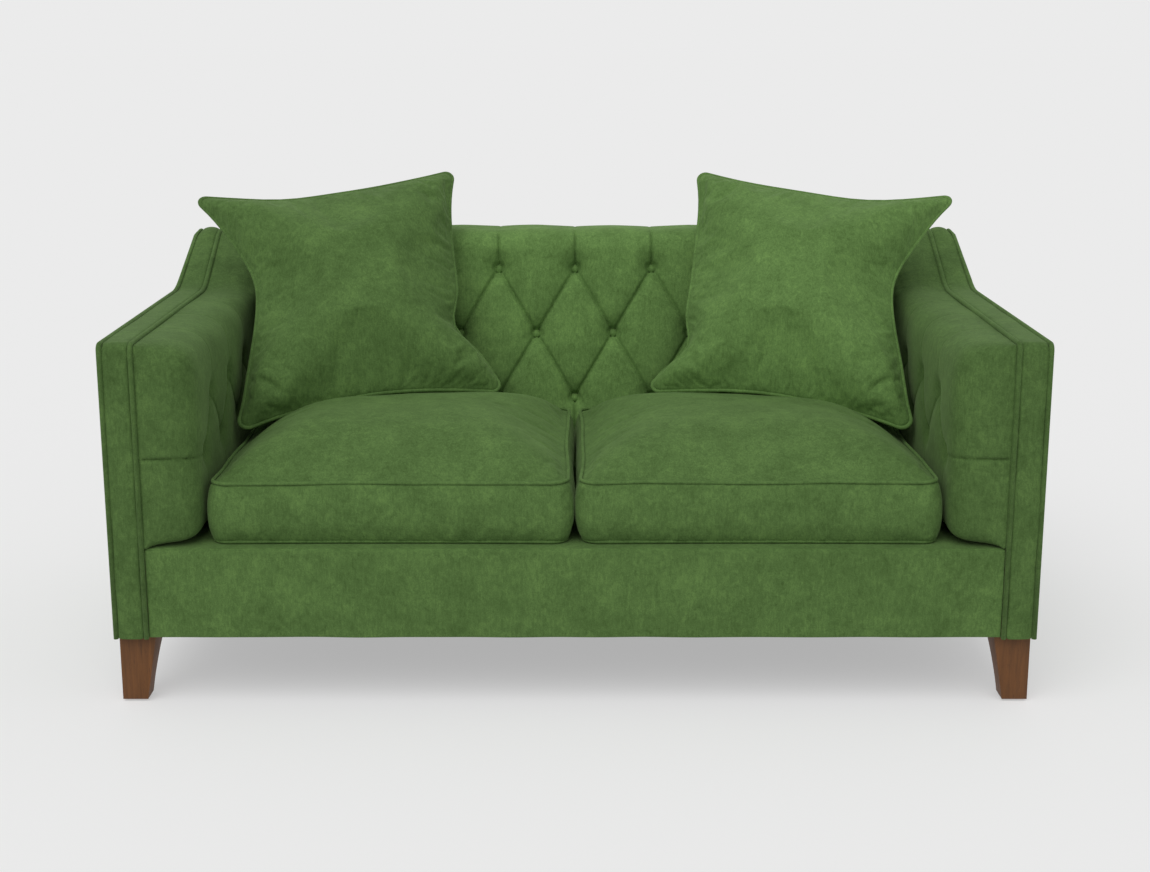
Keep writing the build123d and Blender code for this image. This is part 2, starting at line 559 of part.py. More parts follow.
def make_seat_cushions():
    """Box cushions with a crown, a swelling border and piping along both edges."""
    width = SEAT_X - SEAT_SIDE_GAP - SEAT_CENTRE_GAP / 2
    depth = BACK_FOOT - SEAT_RECESS - SEAT_REAR_GAP
    centre = Pos(SEAT_CENTRE_GAP / 2 + width / 2, FRONT + SEAT_RECESS + depth / 2, DECK_HEIGHT + GAP)
    draws = (SEAT_DRAW_IN,) * 4

    def section(inset, z):
        return Pos(0, 0, z) * pillow_face(width - 2 * inset, depth - 2 * inset, draws, SEAT_CORNER)

    lap = SEAT_PIPING_RADIUS - SEAT_PIPING_PROUD
    ledge = 2 * SEAT_PIPING_RADIUS + 4 * GAP
    border = loft([section(SEAT_BELLY, 0), section(0, SEAT_BORDER / 2), section(SEAT_BELLY, SEAT_BORDER)])
    crown = loft([
        section(SEAT_BELLY + ledge + inset, SEAT_BORDER - lap + share * (SEAT_CROWN + lap))
        for inset, share in zip(SEAT_LIFT_INSETS, SEAT_LIFT_SHARES)
    ])
    foot = section(SEAT_BELLY + lap / 2, SEAT_PIPING_RADIUS).face().outer_wire()
    brow = section(SEAT_BELLY + SEAT_PIPING_RADIUS, SEAT_BORDER + 2 * GAP + SEAT_PIPING_RADIUS).face().outer_wire()
    cushion = border - tube(foot, SEAT_PIPING_RADIUS + 2 * GAP) + crown
    cords = Compound(children=[tube(path, SEAT_PIPING_RADIUS) for path in (foot, brow)])
    return both_sides("seat_cushion", centre * cushion) | both_sides("seat_piping", centre * cords)


def make_scatter_cushions():
    """Knife-edged cushions with drawn-in sides and a piped edge, leaning in the corners."""
    draws = (SCATTER_FOOT_DRAW_IN, SCATTER_ARM_DRAW_IN, SCATTER_TOP_DRAW_IN, SCATTER_INNER_DRAW_IN)

    def section(inset, z):
        share = 1 - 2 * inset / SCATTER_SIZE
        scaled = [draw * share for draw in draws]
        size = SCATTER_SIZE * share
        return Pos(0, 0, z) * pillow_face(size, size, scaled, SCATTER_CORNER)

    half = (SCATTER_THICKNESS - SCATTER_EDGE) / 2
    front = loft([
        section(inset, SCATTER_EDGE / 2 + share * half) for inset, share in zip(SCATTER_INSETS, SCATTER_SHARES)
    ])
    rim = extrude(section(0, -SCATTER_EDGE / 2), SCATTER_EDGE)
    path = section(0, 0).face().outer_wire()
    cushion = front + rim + mirror(front, about=Plane.XY) - tube(path, SCATTER_PIPING_RADIUS + GAP)
    z = SEAT_CROWN_TOP + SCATTER_RISE
    place = Pos(SEAT_X - SCATTER_FROM_ARM, crown_y(z) - SCATTER_FROM_BACK, z) * Rot(Z=-SCATTER_YAW)
    place = place * Rot(X=90 - SCATTER_LEAN) * Rot(Z=-SCATTER_ROLL)
    cord = tube(path, SCATTER_PIPING_RADIUS)
    return both_sides("scatter_cushion", place * cushion) | both_sides("scatter_piping", place * cord)


legs, leg_holes = make_legs()
covers, piping_grooves = make_arm_covers(leg_holes)
nodes = {
    **legs,
    **make_base_frame(),
    **make_arm_frames(leg_holes),
    **make_back_frame(),
    **make_springing(piping_grooves),
    **covers,
    **make_arm_pads(piping_grooves),
    **make_back_pad(),
    **make_seat_cushions(),
    **make_scatter_cushions(),
}

os.makedirs("parts", exist_ok=True)
for name, shape in nodes.items():
    export_step(shape, f"parts/{name}.step")
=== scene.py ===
"""Two-seater sofa with swept arms, a deep-buttoned back and loose cushions, dressed in pile velvet."""

import logging
from dataclasses import dataclass
from enum import Enum
from math import cos, pi, radians, sin, sqrt, tan

import bmesh
import bpy
import numpy as np
from mathutils import Euler, Matrix, Vector


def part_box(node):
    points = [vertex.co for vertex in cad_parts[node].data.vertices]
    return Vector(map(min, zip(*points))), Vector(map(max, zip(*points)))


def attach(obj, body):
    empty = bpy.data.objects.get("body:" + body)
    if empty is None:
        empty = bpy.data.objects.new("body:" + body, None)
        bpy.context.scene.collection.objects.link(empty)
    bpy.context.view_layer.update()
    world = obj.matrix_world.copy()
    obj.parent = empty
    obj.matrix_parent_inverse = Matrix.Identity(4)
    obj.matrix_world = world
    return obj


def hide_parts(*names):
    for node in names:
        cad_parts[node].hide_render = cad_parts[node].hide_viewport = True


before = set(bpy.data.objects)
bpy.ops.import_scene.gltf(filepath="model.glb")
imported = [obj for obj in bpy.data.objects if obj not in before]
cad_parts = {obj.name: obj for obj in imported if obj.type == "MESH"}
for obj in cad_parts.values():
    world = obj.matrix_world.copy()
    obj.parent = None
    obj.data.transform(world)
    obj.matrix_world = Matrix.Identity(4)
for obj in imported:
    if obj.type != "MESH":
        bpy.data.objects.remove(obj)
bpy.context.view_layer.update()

MM = 0.001
SEWN = 0.002  # points of a solid that are closer than this, in millimetres, become one
EDGE_PLACES = 6  # places in the close part at an end of a panel
SOFT_CREASE = 80.0  # stuffed cloth is smooth where its faces meet at less than this angle

log = logging.getLogger("sofa")


class Side(Enum):
    """Side of the sofa, as seen from the front."""

    LEFT = -1
    RIGHT = 1

    @property
    def word(self) -> str:
        """Ending of the names of this side's pieces."""
        return self.name.lower()


class Slot(Enum):
    """Material slots of the record that a piece is given."""

    VELVET = "velvet"
    LEG_WOOD = "leg_wood"
    FRAME_WOOD = "frame_wood"
    DUST_CLOTH = "dust_cloth"


class Body(Enum):
    """Bodies that the pieces ride on."""

    FRAME = "frame"
    SEAT = "seat_cushion"
    SCATTER = "scatter_cushion"

    def of(self, side: Side) -> str:
        """Name of the body on one side."""
        return f"{self.value}_{side.word}"


def linear(code: str, share: float = 1.0) -> tuple[float, float, float, float]:
    """Turns an sRGB hex colour into a linear one.

    Args:
        code: six hex digits with a leading hash.
        share: brightness to give it, against its own.

    Returns:
        Linear red, green, blue and an alpha of 1.
    """
    parts = [int(code[i:i + 2], 16) / 255 for i in (1, 3, 5)]
    lin = [c / 12.92 if c <= 0.04045 else ((c + 0.055) / 1.055) ** 2.4 for c in parts]
    return (*(c * share for c in lin), 1.0)


def per_mm(size: float) -> float:
    """Texture scale, in repeats per metre, of a pattern of this size in millimetres."""
    return 1 / (size * MM)


def add_node(tree: bpy.types.NodeTree, kind: str, inputs: dict | None = None, **settings) -> bpy.types.Node:
    """Adds a node with its settings and links.

    Args:
        tree: node tree that takes the node.
        kind: Blender's name of the node.
        inputs: socket name or number, with a value or the output socket to link from.
        settings: attributes of the node itself.

    Returns:
        The new node.
    """
    node = tree.nodes.new(kind)
    for key, value in settings.items():
        setattr(node, key, value)
    for key, value in (inputs or {}).items():
        if isinstance(value, bpy.types.NodeSocket):
            tree.links.new(value, node.inputs[key])
        else:
            node.inputs[key].default_value = value
    return node


def new_material(name: str) -> tuple[bpy.types.Material, bpy.types.NodeTree]:
    """Makes an empty node material.

    Args:
        name: what the material is.

    Returns:
        The material and its node tree.
    """
    material = bpy.data.materials.new(name)
    material.use_nodes = True
    material.node_tree.nodes.clear()
    return material, material.node_tree


@dataclass(frozen=True)
class Finish:
    """What a piece is made of or covered with. Sizes are in millimetres."""

    name: str

    def surface(self, tree: bpy.types.NodeTree, place: bpy.types.NodeSocket) -> dict:
        """Draws the finish's patterns.

        Args:
            tree: node tree that takes them.
            place: places on the piece.

        Returns:
            Inputs of the finish's shader.
        """
        raise NotImplementedError

    def build(self) -> bpy.types.Material:
        """Builds the node material."""
        material, tree = new_material(self.name)
        place = add_node(tree, "ShaderNodeTexCoord").outputs["Object"]
        shader = add_node(tree, "ShaderNodeBsdfPrincipled", self.surface(tree, place))
        add_node(tree, "ShaderNodeOutputMaterial", {"Surface": shader.outputs["BSDF"]})
        return material


@dataclass(frozen=True)
class Velvet(Finish):
    """Short-pile velvet, woven and then crushed, so that its nap lies in patches.

    The patches catch the light differently, which gives a soft mottling with faint streaks along the nap,
    and the pile scatters light at grazing angles into a pale rim.
    """

    name: str = "crushed pile velvet"
    nap: float = 1.0  # painted light and shade: brightness of this copy, raised on pieces that should look lit and lowered on pieces that should look shaded
    dark: str = "#445e2e"
    middle: str = "#55723d"
    light: str = "#678749"
    patch: float = 15.0
    cloud: float = 70.0
    streak: tuple[float, float, float] = (4.0, 4.0, 15.0)
    pile: float = 2.2  # real pile is about 0.3 mm; drawn coarser so that it shows
    cloud_share: float = 0.7  # weights in the mottling, where the patches count as 1
    streak_share: float = 0.75
    pile_share: float = 0.9
    darkest: float = 1.22  # sums of the patterns that give the dark and the light colour
    lightest: float = 2.12
    nap_strength: float = 0.22
    nap_relief: float = 1.6
    pile_strength: float = 0.3
    pile_relief: float = 0.5
    roughness: float = 0.82
    gloss: float = 0.12
    sheen: float = 0.22
    sheen_roughness: float = 0.45
    sheen_tint: str = "#b9d69a"

    def surface(self, tree: bpy.types.NodeTree, place: bpy.types.NodeSocket) -> dict:
        """Draws the patches, streaks and pile.

        Args:
            tree: node tree that takes them.
            place: places on the piece.

        Returns:
            Inputs of the finish's shader.
        """
        streaks = add_node(tree, "ShaderNodeMapping", {
            "Vector": place, "Scale": tuple(per_mm(size) for size in self.streak)})
        cloud = add_node(tree, "ShaderNodeTexNoise", {
            "Vector": place, "Scale": per_mm(self.cloud), "Detail": 2.0, "Roughness": 0.5})
        patch = add_node(tree, "ShaderNodeTexNoise", {
            "Vector": place, "Scale": per_mm(self.patch), "Detail": 5.0, "Roughness": 0.62,
            "Distortion": 0.9})
        nap = add_node(tree, "ShaderNodeTexNoise", {
            "Vector": streaks.outputs["Vector"], "Scale": 1.0, "Detail": 3.0, "Roughness": 0.6})
        pile = add_node(tree, "ShaderNodeTexNoise", {
            "Vector": place, "Scale": per_mm(self.pile), "Detail": 2.0, "Roughness": 0.7})
        sums = [patch.outputs["Fac"]]
        for pattern, share in ((cloud, self.cloud_share), (nap, self.streak_share), (pile, self.pile_share)):
            sums.append(add_node(tree, "ShaderNodeMath", {
                0: pattern.outputs["Fac"], 1: share, 2: sums[-1]}, operation="MULTIPLY_ADD").outputs[0])
        fine, mottle = sums[-2:]
        level = add_node(tree, "ShaderNodeMapRange", {
            "Value": mottle, "From Min": self.darkest, "From Max": self.lightest})
        # all three colours carry this copy's painted light and shade
        colour = linear(self.dark, self.nap)
        for start, code in ((0.0, self.middle), (0.5, self.light)):
            step = add_node(tree, "ShaderNodeMapRange", {
                "Value": level.outputs["Result"], "From Min": start, "From Max": start + 0.5})
            colour = add_node(tree, "ShaderNodeMix", {
                0: step.outputs["Result"], 6: colour, 7: linear(code, self.nap)}, data_type="RGBA").outputs[2]
        nap_bump = add_node(tree, "ShaderNodeBump", {
            "Height": fine, "Strength": self.nap_strength, "Distance": self.nap_relief * MM})
        bump = add_node(tree, "ShaderNodeBump", {
            "Height": pile.outputs["Fac"], "Strength": self.pile_strength,
            "Distance": self.pile_relief * MM, "Normal": nap_bump.outputs["Normal"]})
        return {
            "Base Color": colour, "Roughness": self.roughness, "Normal": bump.outputs["Normal"],
            "Specular IOR Level": self.gloss, "Sheen Weight": self.sheen,
            "Sheen Roughness": self.sheen_roughness, "Sheen Tint": linear(self.sheen_tint)}


@dataclass(frozen=True)
class Timber(Finish):
    """Sawn or polished wood with its grain along one axis.

    Long dark pores and slow colour bands run along the grain, and a film of stain or wax gives a soft gloss.
    """

    early: str
    late: str
    pore: str
    grain: tuple[float, float, float]  # size of a figure across and along the grain
    roughness: float = 0.5
    pore_strength: float = 0.15
    pore_relief: float = 0.2
    pore_count: float = 7.0  # pores in the width of a figure
    figure_range: tuple[float, float] = (0.32, 0.68)  # pattern levels of early and late wood
    pore_range: tuple[float, float] = (0.58, 0.72)  # pattern levels of closed and open pores
    gloss_range: tuple[float, float] = (-0.06, 0.08)  # how far the roughness wanders

    def surface(self, tree: bpy.types.NodeTree, place: bpy.types.NodeSocket) -> dict:
        """Draws the figure and the pores.

        Args:
            tree: node tree that takes them.
            place: places on the piece.

        Returns:
            Inputs of the finish's shader.
        """
        along = add_node(tree, "ShaderNodeMapping", {
            "Vector": place, "Scale": tuple(per_mm(size) for size in self.grain)}).outputs["Vector"]
        bands = add_node(tree, "ShaderNodeTexNoise", {
            "Vector": along, "Scale": 1.0, "Detail": 4.0, "Roughness": 0.55, "Distortion": 0.8})
        pores = add_node(tree, "ShaderNodeTexNoise", {
            "Vector": along, "Scale": self.pore_count, "Detail": 3.0, "Roughness": 0.7})
        colour = linear(self.early)
        for pattern, (low, high), code in ((bands, self.figure_range, self.late),
                                           (pores, self.pore_range, self.pore)):
            share = add_node(tree, "ShaderNodeMapRange", {
                "Value": pattern.outputs["Fac"], "From Min": low, "From Max": high}).outputs["Result"]
            colour = add_node(tree, "ShaderNodeMix", {
                0: share, 6: colour, 7: linear(code)}, data_type="RGBA").outputs[2]
        low, high = self.gloss_range
        gloss = add_node(tree, "ShaderNodeMapRange", {
            "Value": bands.outputs["Fac"], "To Min": self.roughness + low, "To Max": self.roughness + high})
        bump = add_node(tree, "ShaderNodeBump", {
            "Height": share, "Strength": self.pore_strength, "Distance": self.pore_relief * MM}, invert=True)
        return {"Base Color": colour, "Roughness": gloss.outputs["Result"], "Normal": bump.outputs["Normal"]}


@dataclass(frozen=True)
class Woven(Finish):
    """Plain cloth or matted fibre that is hidden under the covers.

    Its threads or fibres give a fine regular relief, and the dull fibre scatters light evenly.
    """

    colour: str
    thread_colour: str
    thread: tuple[float, float, float]  # spacing of the threads
    roughness: float = 0.9
    strength: float = 0.4
    relief: float = 0.3
    wear: float = 60.0
    gloss: float = 0.2

    def surface(self, tree: bpy.types.NodeTree, place: bpy.types.NodeSocket) -> dict:
        """Draws the threads and their wear.

        Args:
            tree: node tree that takes them.
            place: places on the piece.

        Returns:
            Inputs of the finish's shader.
        """
        spaced = add_node(tree, "ShaderNodeMapping", {
            "Vector": place, "Scale": tuple(per_mm(size) for size in self.thread)})
        threads = add_node(tree, "ShaderNodeTexVoronoi", {
            "Vector": spaced.outputs["Vector"], "Scale": 1.0}).outputs["Distance"]
        wear = add_node(tree, "ShaderNodeTexNoise", {
            "Vector": place, "Scale": per_mm(self.wear), "Detail": 4.0})
        share = add_node(tree, "ShaderNodeMath", {0: threads, 1: wear.outputs["Fac"]}, operation="MULTIPLY")
        colour = add_node(tree, "ShaderNodeMix", {
            0: share.outputs[0], 6: linear(self.colour), 7: linear(self.thread_colour)}, data_type="RGBA")
        bump = add_node(tree, "ShaderNodeBump", {
            "Height": threads, "Strength": self.strength, "Distance": self.relief * MM})
        return {
            "Base Color": colour.outputs[2], "Roughness": self.roughness, "Normal": bump.outputs["Normal"],
            "Specular IOR Level": self.gloss}


@dataclass(frozen=True)
class Moulded(Finish):
    """Drawn steel or moulded plastic with a fine uneven surface.

    Drawing or moulding leaves faint scuffs, which break the reflections up a little.
    """

    colour: str
    scuff: str
    metallic: float
    roughness: float
    grit: float = 3.0
    uneven: float = 0.1  # how far the roughness wanders
    strength: float = 0.1
    relief: float = 0.1

    def surface(self, tree: bpy.types.NodeTree, place: bpy.types.NodeSocket) -> dict:
        """Draws the scuffs.

        Args:
            tree: node tree that takes them.
            place: places on the piece.

        Returns:
            Inputs of the finish's shader.
        """
        marks = add_node(tree, "ShaderNodeTexNoise", {
            "Vector": place, "Scale": per_mm(self.grit), "Detail": 4.0, "Roughness": 0.65}).outputs["Fac"]
        colour = add_node(tree, "ShaderNodeMix", {
            0: marks, 6: linear(self.colour), 7: linear(self.scuff)}, data_type="RGBA")
        gloss = add_node(tree, "ShaderNodeMapRange", {
            "Value": marks, "To Min": self.roughness - self.uneven, "To Max": self.roughness + self.uneven})
        bump = add_node(tree, "ShaderNodeBump", {
            "Height": marks, "Strength": self.strength, "Distance": self.relief * MM})
        return {
            "Base Color": colour.outputs[2], "Roughness": gloss.outputs["Result"],
            "Metallic": self.metallic, "Normal": bump.outputs["Normal"]}


@dataclass(frozen=True)
class Slack:
    """Gentle unevenness of stuffed cloth, the same for every piece that is sewn together."""

    reach: float  # in millimetres
    wave: float  # in millimetres
    seed: int
    waves: int = 9
    shortest: float = 0.65  # lengths of the waves, against the usual one
    longest: float = 1.7

    def offsets(self, points: np.ndarray) -> np.ndarray:
        """Works out how far each point wanders.

        Args:
            points: points in metres, one in a row.

        Returns:
            Offsets in metres, one in a row.
        """
        draw = np.random.RandomState(self.seed)
        total = np.zeros_like(points)
        for _ in range(self.waves):
            way = draw.normal(size=3)
            way /= np.linalg.norm(way)
            length = self.wave * MM * draw.uniform(self.shortest, self.longest)
            push = draw.normal(size=3)
            phase = draw.uniform(0, 2 * pi)
            total += np.sin(points @ way * (2 * pi / length) + phase)[:, None] * push
        return total * (self.reach * MM / sqrt(3 * self.waves))


def read_points(mesh: bpy.types.Mesh) -> np.ndarray:
    """Reads a mesh's points, one in a row."""
    flat = np.empty(len(mesh.vertices) * 3)
    mesh.vertices.foreach_get("co", flat)
    return flat.reshape(-1, 3)


def read_normals(mesh: bpy.types.Mesh) -> np.ndarray:
    """Reads a mesh's point normals, one in a row."""
    flat = np.empty(len(mesh.vertices) * 3, np.float32)
    mesh.vertex_normals.foreach_get("vector", flat)
    return flat.reshape(-1, 3).astype(float)


def write_points(mesh: bpy.types.Mesh, points: np.ndarray) -> None:
    """Writes a mesh's points back."""
    mesh.vertices.foreach_set("co", points.reshape(-1))
    mesh.update()


def link_mesh(name: str, mesh: bpy.types.Mesh) -> bpy.types.Object:
    """Puts a mesh in the scene.

    Args:
        name: name of the piece.
        mesh: its mesh.

    Returns:
        The new object.
    """
    piece = bpy.data.objects.new(name, mesh)
    bpy.context.scene.collection.objects.link(piece)
    return piece


def made_mesh(name: str, points: np.ndarray, faces: list[tuple[int, ...]]) -> bpy.types.Object:
    """Makes a piece from points in millimetres.

    Args:
        name: name of the piece.
        points: points in millimetres, one in a row.
        faces: point numbers of each face.

    Returns:
        The new object, with its faces turned outwards.
    """
    mesh = bpy.data.meshes.new(name)
    mesh.from_pydata((points * MM).tolist(), [], faces)
    shape = bmesh.new()
    shape.from_mesh(mesh)
    bmesh.ops.recalc_face_normals(shape, faces=shape.faces)
    shape.to_mesh(mesh)
    shape.free()
    return link_mesh(name, mesh)


def node_copy(node: str, stuff: str = "cloth") -> bpy.types.Object:
    """Copies a CAD node's mesh into a new piece, with its faces sewn together.

    Args:
        node: name of the node.
        stuff: what the piece is made of, which ends its name.

    Returns:
        The new object, with no material.
    """
    name = f"{node}_{stuff}"
    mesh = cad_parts[node].data.copy()
    mesh.materials.clear()
    mesh.name = name
    shape = bmesh.new()
    shape.from_mesh(mesh)
    bmesh.ops.remove_doubles(shape, verts=shape.verts, dist=SEWN * MM)
    shape.to_mesh(mesh)
    shape.free()
    return link_mesh(name, mesh)


def settle(piece: bpy.types.Object) -> None:
    """Applies a piece's modifiers to its mesh."""
    graph = bpy.context.evaluated_depsgraph_get()
    mesh = bpy.data.meshes.new_from_object(piece.evaluated_get(graph))
    old = piece.data
    piece.modifiers.clear()
    piece.data = mesh
    mesh.name = piece.name
    bpy.data.meshes.remove(old)


def weighted(piece: bpy.types.Object, name: str, share: np.ndarray) -> str:
    """Gives a piece's points a weight each.

    Args:
        piece: the piece.
        name: name of the group of points.
        share: weights from 0 to 1.

    Returns:
        The group's name.
    """
    group = piece.vertex_groups.new(name=name)
    steps = np.round(share, 1)
    for step in np.unique(steps[steps > 0]):
        group.add(np.nonzero(steps == step)[0].tolist(), float(step), "REPLACE")
    return group.name


def smoothed(piece: bpy.types.Object, rounds: int, share: np.ndarray | None = None) -> None:
    """Relaxes a piece's skin.

    Args:
        piece: piece to relax.
        rounds: how many times.
        share: how freely each point moves, from 0 to 1.
    """
    change = piece.modifiers.new("relax", "SMOOTH")
    change.factor = 0.5
    change.iterations = rounds
    if share is not None:
        change.vertex_group = weighted(piece, "free", share)
    settle(piece)
    piece.vertex_groups.clear()


def remeshed(piece: bpy.types.Object, voxel: float, rounds: int = 4) -> None:
    """Gives a piece an even skin.

    Args:
        piece: closed piece.
        voxel: size of its new faces, in millimetres.
        rounds: how many times the new skin is relaxed.
    """
    change = piece.modifiers.new("skin", "REMESH")
    change.mode = "VOXEL"
    change.voxel_size = voxel * MM
    settle(piece)
    smoothed(piece, rounds)


def finer(piece: bpy.types.Object) -> None:
    """Divides a piece's faces once, rounding them."""
    piece.modifiers.new("rounding", "SUBSURF").levels = 1
    settle(piece)


@dataclass(frozen=True)
class Stuffing:
    """Filling that blows a cover up, as cloth held along its seams."""

    pressure: float
    growth: float  # share by which the cloth is cut larger than its shape
    frames: int = 20
    quality: int = 4
    mass: float = 0.3
    stiffness: float = 15.0
    bending: float = 0.6

    def fill(self, piece: bpy.types.Object, cap: np.ndarray, held: np.ndarray) -> None:
        """Blows a cover up like a stuffed cushion.

        Args:
            piece: closed cover with an even skin.
            cap: how far each point may move, in metres.
            held: how firmly each point is held, from 0 to 1.
        """
        start = read_points(piece.data)
        seam = weighted(piece, "seam", held)
        cloth = piece.modifiers.new("filling", "CLOTH")
        settings = cloth.settings
        settings.quality = self.quality
        settings.mass = self.mass
        settings.use_pressure = True
        settings.uniform_pressure_force = self.pressure
        settings.effector_weights.gravity = 0
        settings.vertex_group_mass = seam
        settings.shrink_min = -self.growth
        settings.tension_stiffness = self.stiffness
        settings.compression_stiffness = self.stiffness
        settings.bending_stiffness = self.bending
        cloth.collision_settings.use_collision = False
        cloth.collision_settings.use_self_collision = False
        scene = bpy.context.scene
        for step in range(1, self.frames + 1):
            scene.frame_set(step)
        graph = bpy.context.evaluated_depsgraph_get()
        moved = read_points(piece.evaluated_get(graph).data)
        piece.modifiers.clear()
        piece.vertex_groups.clear()
        scene.frame_set(1)
        way = moved - start
        length = np.linalg.norm(way, axis=1)
        share = np.minimum(1.0, cap / np.maximum(length, 1e-9))
        write_points(piece.data, start + way * share[:, None])


def dressed(piece: bpy.types.Object, finish: bpy.types.Material, node: str, body: str = Body.FRAME.value,
            crease: float = 40.0) -> bpy.types.Object:
    """Gives a piece its finish and its body, and hides the CAD node that it stands for.

    Args:
        piece: the piece.
        finish: its material.
        node: CAD node that it replaces.
        body: body that it rides on.
        crease: faces that meet at more than this angle keep a sharp edge.

    Returns:
        The same piece.
    """
    piece.data.materials.clear()
    piece.data.materials.append(finish)
    piece.data.shade_smooth()
    piece.data.set_sharp_from_angle(angle=radians(crease))
    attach(piece, body)
    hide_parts(node)
    log.info("%s: %d points, on %s", piece.name, len(piece.data.vertices), body)
    return piece


def grid_faces(rows: int, columns: int) -> list[tuple[int, int, int, int]]:
    """Faces of a grid of points.

    Args:
        rows: points one way.
        columns: points the other way.

    Returns:
        Four point numbers for each face.
    """
    starts = [i * columns + j for i in range(rows - 1) for j in range(columns - 1)]
    return [(start, start + 1, start + columns + 1, start + columns) for start in starts]


def backed_grid(name: str, front: np.ndarray, depth: tuple[float, float, float]) -> bpy.types.Object:
    """Makes a closed panel from the grid of its front.

    Args:
        name: name of the piece.
        front: rows by columns of points, in millimetres.
        depth: way from the front to the back, in millimetres.

    Returns:
        The new object.
    """
    rows, columns = front.shape[:2]
    index = np.arange(rows * columns).reshape(rows, columns)
    rim = np.concatenate([index[0, :-1], index[:-1, -1], index[-1, :0:-1], index[:0:-1, 0]]).tolist()
    flat = front.reshape(-1, 3)
    back = list(range(len(flat), len(flat) + len(rim)))
    faces = grid_faces(rows, columns)
    faces += zip(rim, rim[1:] + rim[:1], back[1:] + back[:1], back)
    faces.append(tuple(back))
    return made_mesh(name, np.concatenate([flat, flat[rim] + np.array(depth)]), faces)


def spread(start: float, end: float, step: float, edge: float = 12.0) -> np.ndarray:
    """Places along a side, closer together near both ends.

    Args:
        start: first place.
        end: last place.
        step: usual distance between places.
        edge: width of the close part at each end.

    Returns:
        The places in order.
    """
    close = np.linspace(0, edge, EDGE_PLACES, endpoint=False)
    middle = np.linspace(start + edge, end - edge, max(2, int((end - start - 2 * edge) / step)))
    return np.concatenate([start + close, middle, (end - close)[::-1]])


def ramp(places: np.ndarray, start: float, run: float) -> np.ndarray:
    """Ramp that is 0 up to its start and 1 after its run."""
    return np.clip((places - start) / run, 0, 1)


def hump(places: np.ndarray, reach: float, power: int = 2) -> np.ndarray:
    """Smooth hump that is 1 at place 0 and falls to about a third at its reach."""
    return np.exp(-(places / reach) ** power)


def rolled_edge(places: np.ndarray, radius: float) -> np.ndarray:
    """Drop of a padded panel towards its two ends.

    Args:
        places: places along the side.
        radius: rounding of the ends.

    Returns:
        How far the panel drops at each place.
    """
    near = np.minimum(places - places[0], places[-1] - places)
    lack = np.clip(radius - near, 0, radius)
    return radius - np.sqrt(radius ** 2 - lack ** 2)


def arch(places: np.ndarray, power: float) -> np.ndarray:
    """Swelling of a panel between its two ends.

    Args:
        places: places along the side.
        power: fullness towards the ends, where a smaller power is fuller.

    Returns:
        Shares from 0 at the ends to 1 in the middle.
    """
    return np.clip(np.sin(pi * (places - places[0]) / (places[-1] - places[0])), 0, 1) ** power


